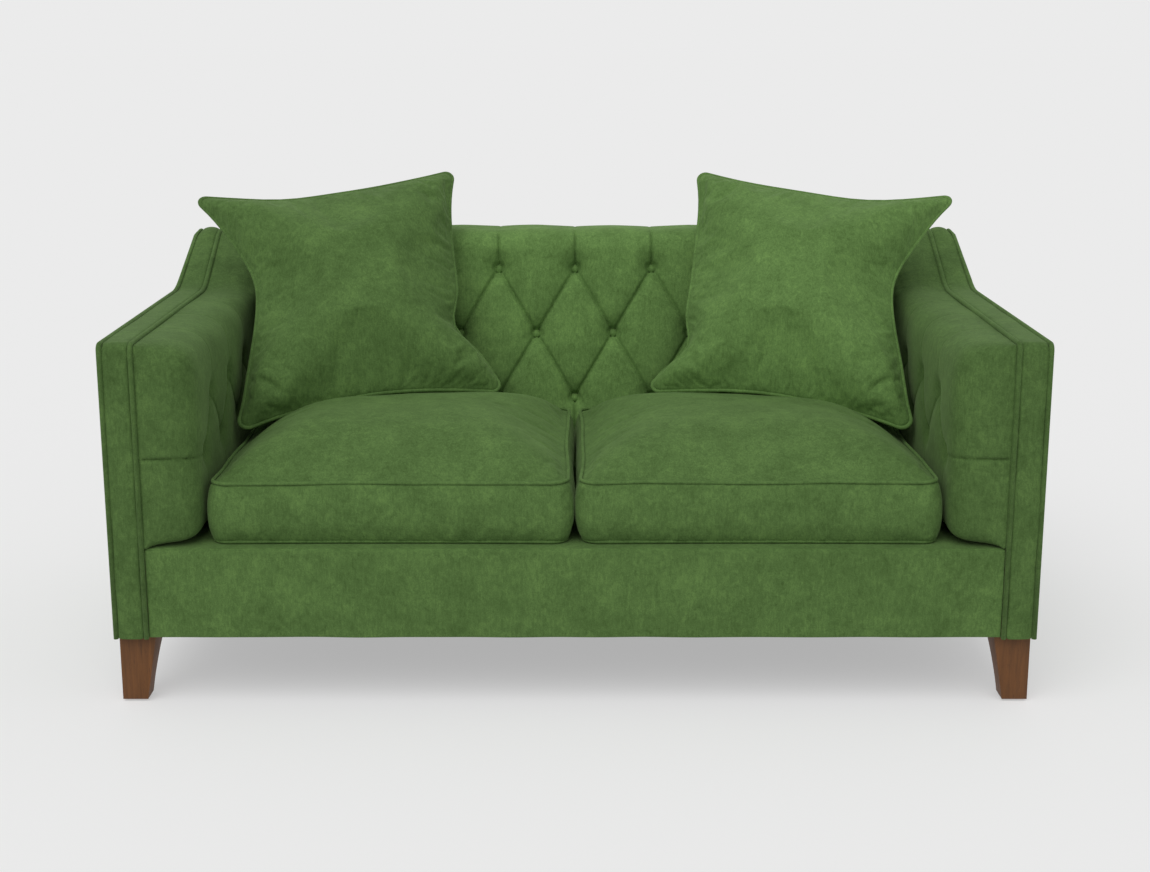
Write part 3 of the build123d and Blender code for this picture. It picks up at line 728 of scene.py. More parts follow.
@dataclass
class Arm:
    """Swept arm: band, outer cover, piping and tufted inside pad. Sizes are in millimetres."""

    side: Side
    velvet: bpy.types.Material
    # darker copy of the velvet for the band, pad, piping and buttons: painted shade
    painted_shade_velvet: bpy.types.Material
    timber: bpy.types.Material
    depth: float = 920.0
    base: float = 128.0
    height: float = 672.0
    rise_run: float = 273.0
    rise_angle: float = 26.5
    front_radius: float = 14.0
    bend_radius: float = 150.0
    rear_radius: float = 60.0
    shoulder_top: float = 771.0
    shoulder_reach: float = 26.0
    shoulder_shift: float = 11.0
    shoulder_dome: float = 5.0  # how far the band rises between its edges at the shoulder
    cover_x: float = 838.0
    border_x: float = 834.0
    pad_x: float = 781.0
    seat_x: float = 673.0
    band_crown: float = 1.5
    band_power: int = 3  # flatness of the crown
    band_valley: float = 1.4
    valley_width: float = 6.0
    band_voxel: float = 4.0
    band_rounds: int = 3
    piping_swell: float = 0.8
    cover_crown: float = 4.0
    cover_fullness: float = 0.7
    cover_inset: float = 3.0  # how far the cover's edges lie inside the arm's front and back
    cover_drop: float = 4.0  # and below its top
    cover_lift: float = 1.0  # and above its base
    cover_recess: float = 1.5
    cover_radius: float = 5.0
    cover_edge: float = 0.6  # share of the rounded edges' drop that is left when it is pulled tight
    cover_height: float = 500.0  # usual height, by which the upper and lower edges are rounded
    cover_thickness: float = 5.0
    cover_slack: float = 0.5
    cover_steps: tuple[float, float] = (9.0, 14.0)  # places along it: usual step, width of the close edge
    cover_rise_steps: tuple[float, float] = (14.0, 20.0)  # places up it, in thousandths of its height
    tuft_pitch: float = 166.0
    tuft_row_gap: float = 100.0
    tuft_low_row: float = 451.0
    tuft_first: float = 100.0
    tuft_columns: int = 4
    tuft_room: float = 25.0  # depth within which the inner face is tufted
    stuffing: float = 0.85  # share of the tufts' depth that the filling takes up
    face_tilt: float = 0.6  # sideways part of the normal from which the skin is the inner face
    face_run: float = 0.35
    pleat_depth: float = 3.0
    front_pleat: float = 5.5
    front_pleat_rise: float = 12.0  # height of its front end above the lower row of buttons
    front_pleat_start: float = 5.0  # how far before the arm's front it starts
    front_pleat_end: float = 25.0  # width in which it fades out towards the seat
    front_pleat_past: float = 8.0  # how far into the seat's side it reaches
    faint_pleat: float = 0.8
    pleat_top: float = 1008.0  # above the arm, so that the upper pleats run over its edge
    pleat_width: float = 2.7
    pleat_clear: float = 4.0  # the pleats end this far from the inner piping
    pleat_clear_run: float = 8.0
    valley_share: float = 0.9  # depth of the broad hollow beside a pleat, against the pleat's own
    valley_reach: float = 20.0
    button_reach: float = 20.0
    button_depth: float = 7.0
    softening: int = 1000  # rounds of relaxing that soften the pad's edges and tufts
    band_hold: float = 8.0  # the pad keeps its shape this close to the inner piping
    band_hold_run: float = 30.0
    rear_hold: float = 200.0  # the pad keeps its shape behind here, beside the back
    rear_hold_run: float = 120.0
    voxel: float = 3.2
    slack: Slack = Slack(1.1, 130.0, 11)

    def top(self, y: np.ndarray) -> np.ndarray:
        """Height of the arm's outline.

        Args:
            y: places from the front to the back.

        Returns:
            Heights of the outline above the floor.
        """
        front, rear = -self.depth / 2, self.depth / 2
        slope = radians(self.rise_angle)
        foot = rear - self.rise_run
        height = np.full_like(y, self.height)
        reach = self.bend_radius * tan(slope / 2)
        bend = (y > foot - reach) & (y < foot + reach * cos(slope))
        height[bend] += self.bend_radius - np.sqrt(self.bend_radius ** 2 - (y[bend] - foot + reach) ** 2)
        rise = y >= foot + reach * cos(slope)
        height[rise] += (y[rise] - foot) * tan(slope)
        lack = np.clip(self.front_radius - (y - front), 0, self.front_radius)
        height -= self.front_radius - np.sqrt(self.front_radius ** 2 - lack ** 2)
        turn = self.rear_radius
        peak = self.height + self.rise_run * tan(slope) - turn * (1 / cos(slope) + tan(slope))
        off = y - (rear - turn)
        rolled = np.minimum(height, peak + np.sqrt(np.clip(turn ** 2 - off ** 2, 0, None)))
        return np.where(off > -turn * sin(slope), rolled, height)

    def near_top(self, z: np.ndarray) -> np.ndarray:
        """Share of the shoulder's rounding at each height, from 0 below it to 1 at the top."""
        return np.clip((z - self.shoulder_top) / self.shoulder_reach + 1, 0, 1)

    def shoulder(self, points: np.ndarray) -> np.ndarray:
        """Rounds the outer top corner of the arm where it meets the back.

        Args:
            points: points in millimetres, one in a row.

        Returns:
            The moved points.
        """
        outer = ramp(np.abs(points[:, 0]), self.pad_x, self.cover_x - self.pad_x)
        moved = points.copy()
        moved[:, 0] -= np.sign(points[:, 0]) * outer * self.shoulder_shift * self.near_top(points[:, 2]) ** 2
        return moved

    def outer_cover(self) -> None:
        """Makes the outer panel, pulled tight over its frame."""
        end = self.depth / 2 - self.cover_inset
        foot = self.base + self.cover_lift
        ys = spread(-end, end, *self.cover_steps)
        shares = spread(0, 1000, *self.cover_rise_steps) / 1000
        zs = foot + shares[None, :] * (self.top(ys) - self.cover_drop - foot)[:, None]
        drop = np.maximum(rolled_edge(ys, self.cover_radius)[:, None],
                          rolled_edge(shares * self.cover_height, self.cover_radius)[None, :])
        belly = self.cover_crown * np.outer(arch(ys, self.cover_fullness), arch(shares, self.cover_fullness))
        out = self.cover_x - self.cover_recess - drop * self.cover_edge + belly
        grid = np.stack([out * self.side.value, np.repeat(ys[:, None], len(shares), 1), zs], axis=2)
        flat = grid.reshape(-1, 3)
        flat = self.shoulder(flat + self.slack.offsets(flat * MM) / MM * self.cover_slack)
        name = f"arm_outer_cover_{self.side.word}"
        inward = (-self.side.value * self.cover_thickness, 0, 0)
        piece = backed_grid(f"{name}_cloth", flat.reshape(grid.shape), inward)
        dressed(piece, self.velvet, name)

    def band(self) -> None:
        """Makes the boxed band between the two lines of piping."""
        name = f"arm_border_{self.side.word}"
        piece = node_copy(name)
        remeshed(piece, self.band_voxel, self.band_rounds)
        points = read_points(piece.data)
        place = np.abs(points[:, 0]) / MM
        across = ramp(place, self.pad_x, self.border_x - self.pad_x)
        crown = self.band_crown * (1 - np.abs(2 * across - 1) ** self.band_power)
        near = np.minimum(place - self.pad_x, self.border_x - place)
        crown -= self.band_valley * hump(near, self.valley_width)
        crown += self.shoulder_dome * self.near_top(points[:, 2] / MM) * np.sin(pi * across)
        points += read_normals(piece.data) * (crown * MM)[:, None] + self.slack.offsets(points)
        write_points(piece.data, self.shoulder(points / MM) * MM)
        dressed(piece, self.painted_shade_velvet, name)

    def rows(self) -> tuple[list[tuple[float, float]], list[tuple[float, float]]]:
        """Places of the buttons in the side view, in the lower and in the upper row."""
        first = self.tuft_first - self.depth / 2
        low = [(first + i * self.tuft_pitch, self.tuft_low_row) for i in range(self.tuft_columns)]
        return low, [(y + self.tuft_pitch / 2, z + self.tuft_row_gap) for y, z in low[:-1]]

    def pleats(self) -> list[tuple[tuple[float, float], tuple[float, float], float]]:
        """Lines of the pleats in the side view, each from one point to the next, with its depth."""
        low, high = self.rows()
        start = (-self.depth / 2 - self.front_pleat_start, self.tuft_low_row + self.front_pleat_rise)
        lines = [(start, low[0], self.front_pleat)]
        for before, middle, after in zip(low, high, low[1:]):
            lines += [(before, middle, self.pleat_depth), (middle, after, self.pleat_depth)]
        lines += [((y, z), (y, self.base), self.faint_pleat) for y, z in low]
        lines += [((y, z), (y, self.pleat_top), self.faint_pleat) for y, z in high]
        return lines

    def tufts(self, points: np.ndarray) -> np.ndarray:
        """Depth of the pleats and button seats in the pad's skin.

        Args:
            points: points in millimetres, one in a row.

        Returns:
            Depths in millimetres, one for each point.
        """
        place, flat = np.abs(points[:, 0]), points[:, 1:]
        face = ramp(place - self.seat_x, -self.front_pleat_past, self.front_pleat_end)
        slit = np.zeros(len(points))
        for start, end, depth in self.pleats():
            way = np.subtract(end, start)
            share = np.clip((flat - start) @ way / (way @ way), 0, 1)
            gap = np.linalg.norm(flat - start - share[:, None] * way, axis=1)
            crease = hump(gap, self.pleat_width)
            if depth == self.front_pleat:
                crease *= face
            elif depth == self.pleat_depth:
                crease += self.valley_share * hump(gap, self.valley_reach)
            slit = np.maximum(slit, depth * crease)
        for spot in sum(self.rows(), []):
            slit += self.button_depth * hump(np.linalg.norm(flat - spot, axis=1), self.button_reach)
        return slit * ramp(self.pad_x - place, self.pleat_clear, self.pleat_clear_run)

    def pad(self) -> None:
        """Makes the tufted inside pad."""
        name = f"arm_pad_{self.side.word}"
        piece = node_copy(name)
        remeshed(piece, self.voxel)
        points = read_points(piece.data)
        facing = ramp(np.abs(read_normals(piece.data)[:, 0]), self.face_tilt, self.face_run)
        sunk = np.abs(points[:, 0]) / MM - self.seat_x
        points[:, 0] -= self.side.value * sunk * facing * self.stuffing * (sunk < self.tuft_room) * MM
        write_points(piece.data, points)
        free = ramp(self.pad_x - np.abs(points[:, 0]) / MM, self.band_hold, self.band_hold_run)
        free *= ramp(self.rear_hold - points[:, 1] / MM, 0, self.rear_hold_run)
        smoothed(piece, self.softening, share=free)
        points = read_points(piece.data)
        points -= read_normals(piece.data) * (self.tufts(points / MM) * MM)[:, None]
        write_points(piece.data, points + self.slack.offsets(points))
        dressed(piece, self.painted_shade_velvet, name, crease=SOFT_CREASE)

    def trim(self) -> None:
        """Makes the piping and the covered buttons."""
        swell = self.piping_swell
        for part, swell in (("outer_piping", swell), ("inner_piping", swell), ("buttons", 0.0)):
            name = f"arm_{part}_{self.side.word}"
            piece = node_copy(name)
            points = read_points(piece.data)
            points = points + read_normals(piece.data) * swell * MM + self.slack.offsets(points)
            write_points(piece.data, self.shoulder(points / MM) * MM)
            dressed(piece, self.painted_shade_velvet, name)

    def rail(self) -> None:
        """Makes the timber under the band, which follows the band's rounded top corner."""
        name = f"arm_top_rail_{self.side.word}"
        piece = node_copy(name, "wood")
        write_points(piece.data, self.shoulder(read_points(piece.data) / MM) * MM)
        dressed(piece, self.timber, name)

    def build(self) -> None:
        """Makes the arm's pieces."""
        self.rail()
        self.outer_cover()
        self.band()
        self.pad()
        self.trim()


@dataclass
class TuftedBack:
    """Deep-buttoned inside back that rolls over the top rail. Sizes are in millimetres."""

    velvet: bpy.types.Material
    half_width: float = 672.5
    deck: float = 296.0
    height: float = 782.0
    front: float = -460.0
    rear: float = 460.0
    foot: float = 636.0
    recline: float = 14.0
    thickness: float = 75.0
    top_radius: float = 58.0
    seam: float = 711.2
    seam_round: float = 16.0  # height in which the relief ends above the rear seam
    seam_drop: float = 1.5
    rear_inset: float = 4.0
    side_round: float = 18.0
    side_drop: float = 9.0
    pitch: float = 165.0
    row_gap: float = 140.0
    rows: int = 3
    top_row: float = 699.0
    swell: float = 30.0
    pleat_depth: float = 9.5
    pleat_sharpness: float = 3.6
    crown_rounds: int = 3  # rounds of relaxing that soften the crowns
    button_depth: float = 15.0
    button_reach: float = 27.0
    button_lift: float = 4.5
    slit_depth: float = 6.5
    slit_width: float = 2.7
    slit_end: float = 0.15  # share of a slit's depth that is left over the top
    slit_fade: float = 80.0  # distance above the top row at which the slits start to fade
    slit_fade_run: float = 30.0
    recess_depth: float = 8.0
    recess_reach: float = 13.0
    recess_power: int = 6
    top_notch: float = 3.6
    top_sharpness: float = 1.4
    top_fade: float = 70.0  # distance in which the pleats turn into notches above the top row
    step: float = 2.2
    slack: Slack = Slack(1.2, 150.0, 23)

    def outline(self) -> tuple[np.ndarray, np.ndarray, np.ndarray]:
        """Side view of the crowns, from the deck over the top to the rear seam.

        Returns:
            Points (depth and height), outward normals and distances along the line.
        """
        lean, radius = radians(self.recline), self.top_radius
        crown = self.front + self.foot
        top_y = crown + (self.height - self.deck) * tan(lean)
        turn = pi / 2 - lean
        tangent = radius * tan(turn / 2)
        upright = (self.height - self.deck) / cos(lean) - tangent
        level = self.rear - radius - (top_y + tangent)
        middle = self.height - radius
        ends = np.cumsum([upright, radius * turn, level, radius * pi / 2, middle - self.seam])
        along = np.linspace(0, ends[-1], int(ends[-1] / self.step))
        points, normals = [], []
        for s in along:
            if s < ends[0]:
                points.append((crown + s * sin(lean), self.deck + s * cos(lean)))
                normals.append((-cos(lean), sin(lean)))
            elif s < ends[1]:
                angle = lean + (s - ends[0]) / radius
                points.append((top_y + tangent - radius * cos(angle), middle + radius * sin(angle)))
                normals.append((-cos(angle), sin(angle)))
            elif s < ends[2]:
                points.append((top_y + tangent + s - ends[1], self.height))
                normals.append((0.0, 1.0))
            elif s < ends[3]:
                angle = (s - ends[2]) / radius
                points.append((self.rear - radius * (1 - sin(angle)), middle + radius * cos(angle)))
                normals.append((sin(angle), cos(angle)))
            else:
                points.append((self.rear, middle - (s - ends[3])))
                normals.append((1.0, 0.0))
        return np.array(points), np.array(normals), along

    def relief(self, x: np.ndarray, along: np.ndarray) -> np.ndarray:
        """Depth of the pleats and buttons below the crowns.

        Args:
            x: places across the back.
            along: distances up the back.

        Returns:
            Depths, places by distances.
        """
        lean = radians(self.recline)
        top = (self.top_row + self.swell * sin(lean) - self.deck) / cos(lean)
        across, past = x[:, None] / self.pitch, along[None, :] - top
        up = past / (2 * self.row_gap)
        width = 1 / sqrt((1 / self.pitch) ** 2 + (1 / (2 * self.row_gap)) ** 2)

        def to_line(u: np.ndarray) -> np.ndarray:
            """Distance to the nearest line, against the distance between two lines."""
            return np.abs(u - np.round(u))

        slanting = np.minimum(to_line(across + up), to_line(across - up))
        inside = (past <= 0) & (past >= -self.row_gap * (self.rows - 1))
        upright = np.where(past > 0, to_line(across), to_line(across + (self.rows - 1) % 2 / 2))
        near = np.where(inside, slanting, upright)
        gap = near * np.where(inside, width, self.pitch)
        fade = ramp(past, 0, self.top_fade)
        strength = self.pleat_depth + (self.top_notch - self.pleat_depth) * fade
        depth = strength * (1 - 2 * near) ** (
            self.pleat_sharpness + (self.top_sharpness - self.pleat_sharpness) * fade)
        for _ in range(self.crown_rounds):
            depth[1:-1, 1:-1] = (depth[1:-1, 1:-1] * 2 + depth[:-2, 1:-1] + depth[2:, 1:-1]
                                 + depth[1:-1, :-2] + depth[1:-1, 2:]) / 6
        late = ramp(past, self.slit_fade, self.slit_fade_run)
        depth += self.slit_depth * (1 - (1 - self.slit_end) * late) * hump(gap, self.slit_width)
        for row in range(self.rows):
            distance = np.hypot(to_line(across + row % 2 / 2) * self.pitch, past + row * self.row_gap)
            depth += self.button_depth * hump(distance, self.button_reach)
            depth += self.recess_depth * hump(distance, self.recess_reach, self.recess_power)
        return depth

    def build(self) -> None:
        """Makes the pad with its covered buttons."""
        points, normals, along = self.outline()
        count = int(2 * self.half_width / self.step)
        x = np.linspace(-self.half_width, self.half_width, count)
        near_side = ramp(np.abs(x) - self.half_width, -self.side_round, self.side_round)
        depth = self.relief(x, along) + (self.side_drop * near_side ** 2)[:, None]
        seam_end = ramp(along - along[-1], -self.seam_round, self.seam_round)
        depth = depth * (1 - seam_end) + self.seam_drop * seam_end
        lean = radians(self.recline)
        back_y = self.front + self.foot + self.thickness / cos(lean)
        inner = np.array([(self.rear - self.rear_inset, self.seam),
                          (back_y + (self.seam - self.deck) * tan(lean), self.seam), (back_y, self.deck)])
        outer = points[None, :, :] - normals[None, :, :] * depth[:, :, None]
        loop = np.concatenate([outer, np.repeat(inner[None, :, :], count, 0)], axis=1)
        size = loop.shape[1]
        grid = np.concatenate([np.repeat(x[:, None], size, 1)[:, :, None], loop], axis=2)
        flat = grid.reshape(-1, 3)
        flat += self.slack.offsets(flat * MM) / MM
        faces = grid_faces(count, size)
        firsts = range(0, (count - 1) * size, size)
        faces += [(first + size - 1, first, first + size, first + 2 * size - 1) for first in firsts]
        faces += [tuple(range(size)), tuple(range((count - 1) * size, count * size))]
        piece = made_mesh("back_pad_cloth", flat, faces)
        dressed(piece, self.velvet, "back_pad", crease=SOFT_CREASE)
        buttons = node_copy("back_buttons")
        spots = read_points(buttons.data)
        lift = np.array((0, -cos(lean), sin(lean))) * self.button_lift * MM
        write_points(buttons.data, spots + lift + self.slack.offsets(spots))
        dressed(buttons, self.velvet, "back_buttons")


@dataclass
class SeatCushion:
    """Box cushion with a crowned top and piped edges. Sizes are in millimetres."""

    side: Side
    velvet: bpy.types.Material
    deck: float = 296.3
    border: float = 110.0
    piping_swell: float = -0.4
    seam_fill: float = 1.3  # how far the cover swells beside its upper piping
    seam_reach: float = 9.0
    seam_hold: float = 7.0  # height in which the cover is held beside its upper piping
    upright: float = 0.9  # upward part of the normal from which the skin is the top and not held
    foot_hold: float = 6.0
    side_cap: float = 3.0  # how far the sides may swell
    top_cap: float = 8.0  # how much further the top may swell
    tuck: float = 2.4  # how far the lower piping is rolled under
    tuck_room: float = 200.0  # piping further than this from the middle belongs to an edge
    lean_in: float = 4.0  # how far the cushions lean on each other
    lean_reach: float = 60.0
    lean_peak: float = 0.75  # share of the border's height from which they lean fully
    inner_rise: float = 11.0  # how far the inner edges are pushed up towards the back
    inner_reach: float = 120.0
    front_y: float = -440.0
    rise_run: float = 420.0
    dent: float = 8.0  # hollow under a scatter cushion
    dent_x: float = 470.0
    dent_y: float = -30.0
    dent_reach: tuple[float, float] = (230.0, 130.0)
    voxel: float = 7.5
    stuffing: Stuffing = Stuffing(4.0, 0.015)
    slack: Slack = Slack(3.0, 210.0, 5)

    def build(self) -> None:
        """Makes the cushion with its piping."""
        body = Body.SEAT.of(self.side)
        name = f"seat_cushion_{self.side.word}"
        piece = node_copy(name)
        remeshed(piece, self.voxel)
        self.fill(piece)
        finer(piece)
        points = read_points(piece.data)
        beside = hump(points[:, 2] / MM - self.deck - self.border, self.seam_reach) * self.seam_fill * MM
        points += read_normals(piece.data) * beside[:, None]
        write_points(piece.data, points + self.hang(points))
        dressed(piece, self.velvet, name, body, crease=SOFT_CREASE)
        trim = f"seat_piping_{self.side.word}"
        cords = node_copy(trim)
        points = read_points(cords.data)
        inward = np.array(sum(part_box(trim), Vector()) / 2) - points
        way = np.sign(inward) * (np.abs(inward) > self.tuck_room * MM)
        under = points[:, 2] / MM < self.deck + self.border / 2
        points = points + read_normals(cords.data) * self.piping_swell * MM + self.hang(points)
        points[:, :2] += way[:, :2] * (under * self.tuck * MM)[:, None]
        write_points(cords.data, points)
        dressed(cords, self.velvet, trim, body)

    def hang(self, points: np.ndarray) -> np.ndarray:
        """Wandering of the cover, none where it lies on the deck.

        Args:
            points: points in metres, one in a row.

        Returns:
            Offsets in metres.
        """
        x, y, z = (points / MM).T
        rise = ramp(z, self.deck, self.border)
        offsets = self.slack.offsets(points) * rise[:, None]
        close = np.exp(-np.abs(x) / self.lean_reach) * np.sin(
            pi * np.clip(rise, 0, self.lean_peak) / (2 * self.lean_peak))
        offsets[:, 0] -= np.sign(x) * close * self.lean_in * MM
        raised = hump(x, self.inner_reach) * ramp(y, self.front_y, self.rise_run) * self.inner_rise
        wide, deep = self.dent_reach
        dented = hump(np.abs(x) - self.dent_x, wide) * hump(y - self.dent_y, deep) * self.dent
        offsets[:, 2] += (raised - dented) * rise * MM
        return offsets

    def fill(self, piece: bpy.types.Object) -> None:
        """Stuffs a cover, with its seams and its underside held.

        Args:
            piece: cover with an even skin.
        """
        height = read_points(piece.data)[:, 2] / MM - self.deck
        up = read_normals(piece.data)[:, 2]
        seam = hump(height - self.border, self.seam_hold) * (np.abs(up) < self.upright)
        cap = (self.side_cap + self.top_cap * np.clip(up, 0, 1)) * MM
        self.stuffing.fill(piece, cap, np.maximum(seam, height < self.foot_hold))


@dataclass(frozen=True)
class Pull:
    """How far an edge of a cushion is pulled, and where along it, from -1 to 1."""

    size: float  # in millimetres
    place: float
    reach: float

    def at(self, places: np.ndarray) -> np.ndarray:
        """Pull at places along the edge, in millimetres."""
        return self.size * hump(places - self.place, self.reach)


@dataclass
class ScatterCushion:
    """Knife-edged cushion leaning in a corner. Sizes are in millimetres."""

    side: Side
    velvet: bpy.types.Material
    size: float = 530.0
    yaw: float = 13.0
    lean: float = 38.0
    roll: float = 5.6
    arm_ears: tuple[float, float] = (22.0, 15.0)  # how far the corners stand out at the top and the foot
    inner_ears: tuple[float, float] = (7.0, 2.0)
    ear_rise: float = 0.5  # rise of the upper corners, against how far they stand out
    ear_power: int = 3  # the ears and pulls are drawn out of the cushion's edge by these powers
    ear_limit: float = 1.1
    edge_power: int = 3
    foot_power: int = 4
    settle: float = 11.0  # how far the lower edge sinks onto the seat
    left_nip: Pull = Pull(38.0, -0.39, 0.2)  # hollow of the inner edge, low down
    right_nip: Pull = Pull(38.0, -0.58, 0.2)
    swell: Pull = Pull(12.0, 0.28, 0.45)  # fullness of the inner edge above its hollow
    arm_nip: Pull = Pull(18.0, 0.2, 0.3)  # hollow of the edge over the arm
    arm_swell: Pull = Pull(22.0, -0.55, 0.4)  # fullness of the edge beside the arm, low down
    top_sag: Pull = Pull(9.0, 0.35, 0.4)
    rim_fill: float = 2.2  # how far the cover reaches into its piping
    rim_reach: float = 7.0
    rim_hold: float = 9.0  # distance from the sewn edge within which the cover is held
    cap: float = 22.0  # how far the faces may swell
    piping_swell: float = 0.5
    voxel: float = 5.0
    stuffing: Stuffing = Stuffing(3.0, 0.03)
    slack: Slack = Slack(2.6, 190.0, 9)

    def axes(self) -> np.ndarray:
        """Axes of the cushion: towards the arm, up its face and out of its face, one in a row.

        Returns:
            Three unit vectors.
        """
        turn = (Matrix.Rotation(radians(-self.yaw), 3, "Z") @ Matrix.Rotation(radians(90 - self.lean), 3, "X")
                @ Matrix.Rotation(radians(-self.roll), 3, "Z"))
        ways = np.array(turn).T
        ways[:, 0] *= self.side.value
        return ways

    def slumped(self, points: np.ndarray, centre: np.ndarray) -> np.ndarray:
        """Pulls the corners out into ears and lets the lower edge sink onto the seat.

        Args:
            points: points in metres, one in a row.
            centre: middle of the cushion.

        Returns:
            The moved points.
        """
        ways = self.axes()
        flat = (points - centre) @ ways.T / (self.size / 2 * MM)
        u, v = flat[:, 0], flat[:, 1]
        ears = np.where(u > 0, *(np.where(v > 0, *pair) for pair in (self.arm_ears, self.inner_ears)))
        corner = ears * np.clip(np.abs(u * v), 0, self.ear_limit) ** self.ear_power
        inner, outer, high = (ramp(places, -1, 2) ** self.edge_power for places in (-u, u, v))
        low = ramp(-v, -1, 2) ** self.foot_power
        nip = self.left_nip if self.side is Side.LEFT else self.right_nip
        along = corner * np.sign(u) + inner * (nip.at(v) - self.swell.at(v))
        along += outer * (self.arm_swell.at(v) - self.arm_nip.at(v))
        up = corner * np.where(v > 0, self.ear_rise, -1) - self.settle * low * np.clip(1 - u ** 2, 0, 1)
        up -= high * self.top_sag.at(u)
        moved = points + (np.outer(along, ways[0]) + np.outer(up, ways[1])) * MM
        return moved + self.slack.offsets(points)

    def build(self) -> None:
        """Makes the cushion with its piping."""
        body = Body.SCATTER.of(self.side)
        name, trim = f"scatter_cushion_{self.side.word}", f"scatter_piping_{self.side.word}"
        piece, cord = node_copy(name), node_copy(trim)
        centre = np.array(sum(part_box(trim), Vector()) / 2)
        out = self.axes()[2]
        remeshed(piece, self.voxel)
        off = (read_points(piece.data) - centre) @ out / MM
        self.stuffing.fill(piece, np.full(len(off), self.cap * MM), hump(off, self.rim_hold))
        finer(piece)
        points = read_points(piece.data)
        rim = hump((points - centre) @ out / MM, self.rim_reach) * self.rim_fill * MM
        points += read_normals(piece.data) * rim[:, None]
        write_points(piece.data, self.slumped(points, centre))
        dressed(piece, self.velvet, name, body, crease=SOFT_CREASE)
        points = read_points(cord.data) + read_normals(cord.data) * self.piping_swell * MM
        write_points(cord.data, self.slumped(points, centre))
        dressed(cord, self.velvet, trim, body)


@dataclass(frozen=True)
class Panel:
    """Upright padded panel that runs along the sofa. Sizes are in millimetres."""

    node: str
    half_width: float
    foot: float
    head: float
    face: float  # place of its face from the front to the back
    facing: int  # -1 towards the front, 1 towards the back
    thickness: float
    belly: float  # how far its middle swells
    steps: tuple[float, float]  # usual distances between places across and up


@dataclass
class Base:
    """Front panel, deck, outside back and dust cover. Sizes are in millimetres."""

    velvet: bpy.types.Material
    dust_cloth: bpy.types.Material
    front: Panel = Panel("front_border", 777.0, 128.0, 295.0, -456.0, -1, 10.0, 2.5, (9.0, 8.0))
    rear: Panel = Panel("outside_back", 832.0, 129.0, 710.2, 458.5, 1, 4.0, 3.0, (11.0, 11.0))
    radius: float = 3.5
    fullness: tuple[float, float] = (0.3, 0.6)  # of the bellies, across and up
    deck: float = 296.0
    deck_front: float = -454.5
    deck_step: float = 12.0
    deck_radius: float = 5.0
    deck_thickness: float = 14.0
    slack: Slack = Slack(0.5, 140.0, 31)

    def rolled(self, us: np.ndarray, vs: np.ndarray, radius: float) -> np.ndarray:
        """How far a panel's face stands back at its rolled edges, places across by places up."""
        drop = np.hypot(rolled_edge(us, radius)[:, None], rolled_edge(vs, radius)[None, :])
        return np.minimum(drop, radius)

    def upright(self, panel: Panel) -> None:
        """Makes an upright panel with rolled edges and a slight belly.

        Args:
            panel: its sizes.
        """
        us = spread(-panel.half_width, panel.half_width, panel.steps[0])
        vs = spread(panel.foot, panel.head, panel.steps[1])
        wide, full = self.fullness
        back = self.rolled(us, vs, self.radius) - panel.belly * np.outer(arch(us, wide), arch(vs, full))
        across, up = np.meshgrid(us, vs, indexing="ij")
        grid = np.stack([across, panel.face - panel.facing * back, up], axis=2)
        grid += self.slack.offsets(grid.reshape(-1, 3) * MM).reshape(grid.shape) / MM
        piece = backed_grid(f"{panel.node}_cloth", grid, (0, -panel.facing * panel.thickness, 0))
        dressed(piece, self.velvet, panel.node)

    def build(self) -> None:
        """Makes the panels."""
        self.upright(self.front)
        self.upright(self.rear)
        us = spread(-self.front.half_width, self.front.half_width, self.front.steps[0])
        vs = spread(self.deck_front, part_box("seat_platform")[1].y / MM, self.deck_step)
        across, along = np.meshgrid(us, vs, indexing="ij")
        grid = np.stack([across, along, self.deck - self.rolled(us, vs, self.deck_radius)], axis=2)
        deck = backed_grid("seat_platform_cloth", grid, (0, 0, -self.deck_thickness))
        dressed(deck, self.velvet, "seat_platform")
        under = node_copy("dust_cover")
        dressed(under, self.dust_cloth, "dust_cover")


@dataclass
class Legs:
    """Tapered legs with eased edges. Sizes are in millimetres."""

    wood: bpy.types.Material
    easing: float = 1.6
    easing_steps: int = 3
    edge_angle: float = 40.0  # only edges sharper than this are eased
    crease: float = 50.0

    def build(self) -> None:
        """Makes the four legs."""
        for name in [f"leg_{end}_{side.word}" for end in ("front", "rear") for side in Side]:
            piece = node_copy(name, "wood")
            eased = piece.modifiers.new("eased edges", "BEVEL")
            eased.width = self.easing * MM
            eased.segments = self.easing_steps
            eased.limit_method = "ANGLE"
            eased.angle_limit = radians(self.edge_angle)
            settle(piece)
            dressed(piece, self.wood, name, crease=self.crease)


@dataclass
class InnerFrame:
    """Timber, springing and fixings that the covers hide, which keep their CAD shapes."""

    timber: bpy.types.Material
    hardboard: bpy.types.Material
    steel: bpy.types.Material
    felt: bpy.types.Material
    webbing: bpy.types.Material
    plastic: bpy.types.Material

    def build(self) -> None:
        """Gives each hidden node its finish."""
        finishes = {
            "arm_lining": self.hardboard, "seat_springs": self.steel, "spring_clips": self.steel,
            "leg_bolts": self.steel, "leg_plates": self.steel, "seat_felt": self.felt,
            "back_webbing": self.webbing, "leg_glides": self.plastic,
        }
        for name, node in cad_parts.items():
            if node.hide_render:
                continue
            finish = next((mat for start, mat in finishes.items() if name.startswith(start)), self.timber)
            for place in node.material_slots:
                place.material = finish
            log.info("%s: %s", name, finish.name)


